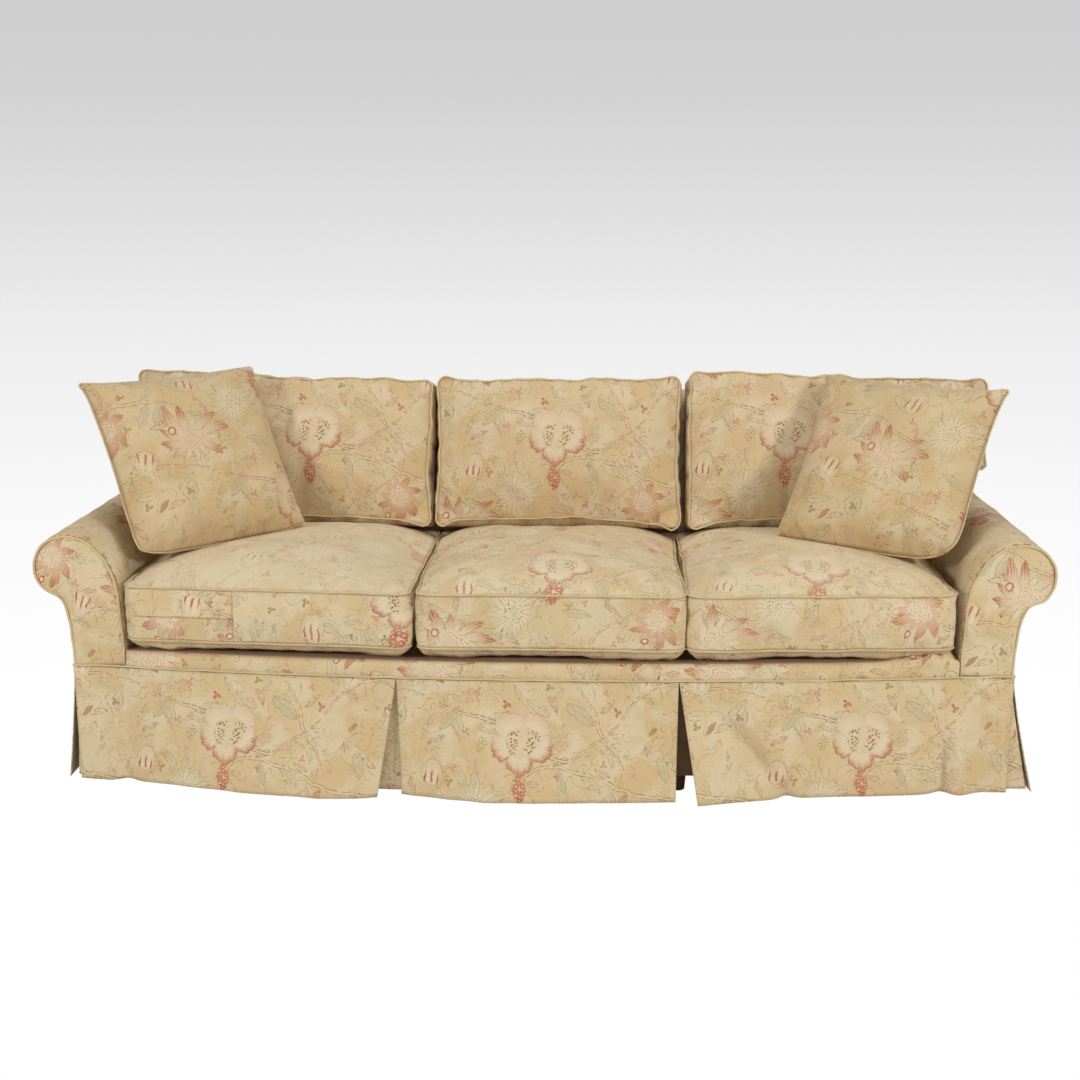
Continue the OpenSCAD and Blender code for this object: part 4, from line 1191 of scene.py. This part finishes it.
def right_creases(u, t):
    """Painted shade in the hollows of the right panel's two folds and painted highlight on their ridges.
    """
    slant = KICK_SLANT * t + 0.02
    hollow = 0.6 * smooth(t, 0.0, 0.4) * smooth(t, 1.1, 0.6) * bell(u - slant - 0.04, 0.075)
    hollow = np.maximum(hollow, 0.8 * smooth(t, 0.3, 0.7) * bell(u - 0.798, 0.016))
    ridge = 0.35 * smooth(t, 0.4, 0.75) * bell(u - slant + 0.03, 0.025)
    ridge = ridge + 0.55 * smooth(t, 0.3, 0.6) * bell(u - 0.842, 0.017)
    return hollow, ridge


def front_panels():
    for seed, (name, (x0, x1, h0, h1, pairs, shift)) in enumerate(FRONT_PANELS.items()):
        def place_of(u, t):
            top = x0 + (x1 - x0) * u
            x = top + ((h0 - x0) * (1 - u) + (h1 - x1) * u) * t
            out = folds_of(pairs, u) * t ** 1.25 + 0.0015
            if name == "right":
                fold = KICK_SLANT * t + 0.02
                out = out + KICK * t * np.clip(1 - u / fold, 0, 1) - 0.018 * t * bell(u - fold, 0.03)
            ripples = 0.0013 * ripple(coords(u * (x1 - x0), t * 0.12), 0.13, 700 + seed) * t
            return coords(x, front_line(top) - out - ripples, height_at(t))
        hanging(f"skirt_front_{name}_cloth", place_of, x1 - x0,
                (shift[0] - (x1 - x0) / 2 - 0.3, shift[1]), node=f"skirt_front_{name}",
                creased=right_creases if name == "right" else None)


def side_panels():
    for name, (front, rear, shift) in SIDE_PANELS.items():
        def place_of(u, t):
            flare = rear + (front - rear) * (1 - u) ** 3 + 0.004 * np.sin(u * 17) * t
            x = TRUNK + 0.0026 + flare * t ** 1.2
            y = ARM_FRONT + 0.002 + (BACK - 0.001 - ARM_FRONT - 0.002) * u
            return coords(-x if name == "left" else x, y, height_at(t))
        hanging(f"skirt_side_{name}_cloth", place_of, BACK - ARM_FRONT, shift, node=f"skirt_side_{name}")


def back_panel():
    def place_of(u, t):
        y = BACK + 0.0026 + (0.014 + 0.006 * np.cos(u * 4 * np.pi)) * t ** 1.2
        return coords(CORNER - 2 * CORNER * u, y, height_at(t))
    hanging("skirt_back_cloth", place_of, 2 * CORNER, (0.0, 0.14), cols=200, node="skirt_back")


def underlays():
    """The strips of cloth behind the left kick pleat and the front corners; each spreads at
    the hem by that much, to the right where it is positive."""
    corner = CORNER - 0.038
    for name, x0, x1, y, spreads, shift, cols, node in (
            ("kick", -0.394, -0.274, -0.4245, 0.0, (0.1, 0.05), 16, "pleat_underlays"),
            ("left", -corner - 0.032, -corner + 0.032, ARM_FRONT + 0.006, -0.016, (0.4, 0.05), 10, None),
            ("right", corner - 0.032, corner + 0.032, ARM_FRONT + 0.006, 0.055, (0.4, 0.05), 10, None)):
        def place_of(u, t):
            x = x0 + (x1 - x0) * u + spreads * (u if spreads > 0 else 1 - u) * t ** 1.1
            return coords(x, y + 0.001 * np.sin(9 * u) * t, SKIRT_TOP - 0.003 - UNDERLAY_DROP * t)
        width = round(x1 - x0, 6)
        hanging(f"pleat_underlay_{name}", place_of, width, shift, cols=cols, node=node)


def skirt_welt():
    x = np.linspace(-CORNER, CORNER, 420)
    sides = np.linspace(ARM_FRONT, BACK, 90)[1:-1]
    ring = np.concatenate([coords(x, front_line(x) - 0.002), coords(CORNER + 0.001, sides),
                           coords(x[::-1], BACK + 0.003), coords(-CORNER - 0.001, sides[::-1])])
    height = SKIRT_TOP + 0.003 + 0.0007 * ripple(ring, 0.12, 720)
    piping = welt("skirt_piping", [(with_third(ring, height), True)], "frame", 0.0024)
    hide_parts("skirt_welt")


# Carried-over CAD nodes

FINISHES = {
    "timber": ("rail", "stretchers", "corner_blocks", "feet", "stumps", "stiles"),
    "steel": ("springs", "clips", "zip_slider"),
    "wadding": ("pad",),
    "lining": ("webbing", "dust_cover"),
}


def finish_frame():
    for name, node in NODES.items():
        for finish, words in FINISHES.items():
            if any(word in name for word in words) and node.type == "MESH":
                node.data.materials.clear()
                node.data.materials.append(MATERIALS[finish])


# Stage

CAMERA = (0.1311, -3.5475, 1.3829)
CAMERA_YAW, CAMERA_PITCH = -0.0399, 0.2391
FLOOR_RADIUS = 12.5
# Greys of the floor from under the camera outward, and of the background from low to high
FLOOR_GREYS = [(0.0, 1.0), (0.33, 1.0), (0.384, 0.983), (0.62, 0.921), (0.76, 0.888), (1.0, 0.864)]
SKY_GREYS = [(0.0, 0.9), (0.19, 0.864), (0.206, 0.855), (0.26, 0.775), (0.345, 0.665),
             (0.407, 0.615), (1.0, 0.56)]
WARM = (1.0, 0.985, 0.96)
# Each lamp's place, target, size, power and tint
LAMPS = {
    "key right": ((3.1, -2.7, 2.1), (0.1, 0.0, 0.4), 0.5, 53, WARM),
    "key left": ((-3.0, -2.9, 2.0), (-0.1, 0.0, 0.4), 0.6, 46, WARM),
    "low fill": ((0.0, -3.7, 0.7), (0.0, 0.0, 0.3), 1.2, 7, WARM),
    "top": ((0.0, -0.6, 3.4), (0.0, 0.0, 0.4), 2.4, 30, (1, 1, 1)),
    "back": ((0.0, 3.8, 2.0), (0.0, 0.4, 0.4), 2.0, 22, (1, 1, 1)),
}


def ramp(net, value, stops):
    made = net.node("ShaderNodeValToRGB", {}, (0, value))
    line = made.color_ramp.elements
    while len(line) < len(stops):
        line.new(0.5)
    for element, (at, grey) in zip(line, stops):
        element.position = at
        element.color = (grey, grey, grey, 1)
    return net.out(made)


def stage():
    """A white floor that fades to a grey background, as in a plain studio."""
    material, net, shader = surface("floor", 0.9)
    shader.inputs["Base Color"].default_value = (0.82, 0.82, 0.82, 1)
    far = net.vector("LENGTH", net.object_place(), key=1)
    glow = net.node("ShaderNodeEmission", {}, (0, ramp(net, far / FLOOR_RADIUS, FLOOR_GREYS)))
    seen = net.out(net.node("ShaderNodeLightPath", {}), "Is Camera Ray")
    both = net.node("ShaderNodeMixShader", {}, (0, seen), (1, Value(net, shader.outputs[0])),
                    (2, net.out(glow)))
    net.put(material.node_tree.nodes["Material Output"].inputs["Surface"], net.out(both))
    bpy.ops.mesh.primitive_circle_add(vertices=128, radius=FLOOR_RADIUS, fill_type="NGON",
                                      location=(CAMERA[0], CAMERA[1], 0))
    floor = bpy.context.object
    floor.name = "floor"
    floor.data.materials.append(material)

    world = bpy.data.worlds.new("studio")
    world.use_nodes = True
    bpy.context.scene.world = world
    net = Net(world.node_tree)
    back = world.node_tree.nodes["Background"]
    direction = net.out(net.node("ShaderNodeTexCoord", {}), "Generated")
    height = net.out(net.node("ShaderNodeSeparateXYZ", {}, (0, direction)), 2)
    seen = net.out(net.node("ShaderNodeLightPath", {}), "Is Camera Ray")
    net.put(back.inputs[0], net.mix((1.0, 0.98, 0.95, 1), ramp(net, height + 0.3, SKY_GREYS), seen))
    net.put(back.inputs[1], net.madd(seen, 0.7, 0.3))


def linked(name, data, place, aim):
    """An object for a lamp or a camera that looks along aim."""
    made = bpy.data.objects.new(name, data)
    made.location = place
    made.rotation_euler = aim.to_track_quat("-Z", "Y").to_euler()
    bpy.context.scene.collection.objects.link(made)
    return made


def lights():
    for name, (place, target, size, power, tint) in LAMPS.items():
        light = bpy.data.lights.new(name, "AREA")
        light.shape = "DISK"
        light.size = size
        light.energy = power
        light.color = tint
        linked(name, light, place, Vector(target) - Vector(place))


def camera():
    lens = bpy.data.cameras.new("camera")
    lens.sensor_width = 36
    lens.lens = 47.99
    level = math.cos(CAMERA_PITCH)
    aim = Vector((math.sin(CAMERA_YAW) * level, math.cos(CAMERA_YAW) * level, -math.sin(CAMERA_PITCH)))
    bpy.context.scene.camera = linked("camera", lens, CAMERA, aim)
    bpy.context.scene.view_settings.view_transform = "Standard"


camera()
seat_cushions()
back_cushions()
pillows()
arms()
back_cover()
deck()
front_panels()
side_panels()
back_panel()
underlays()
skirt_welt()
finish_frame()
stage()
lights()
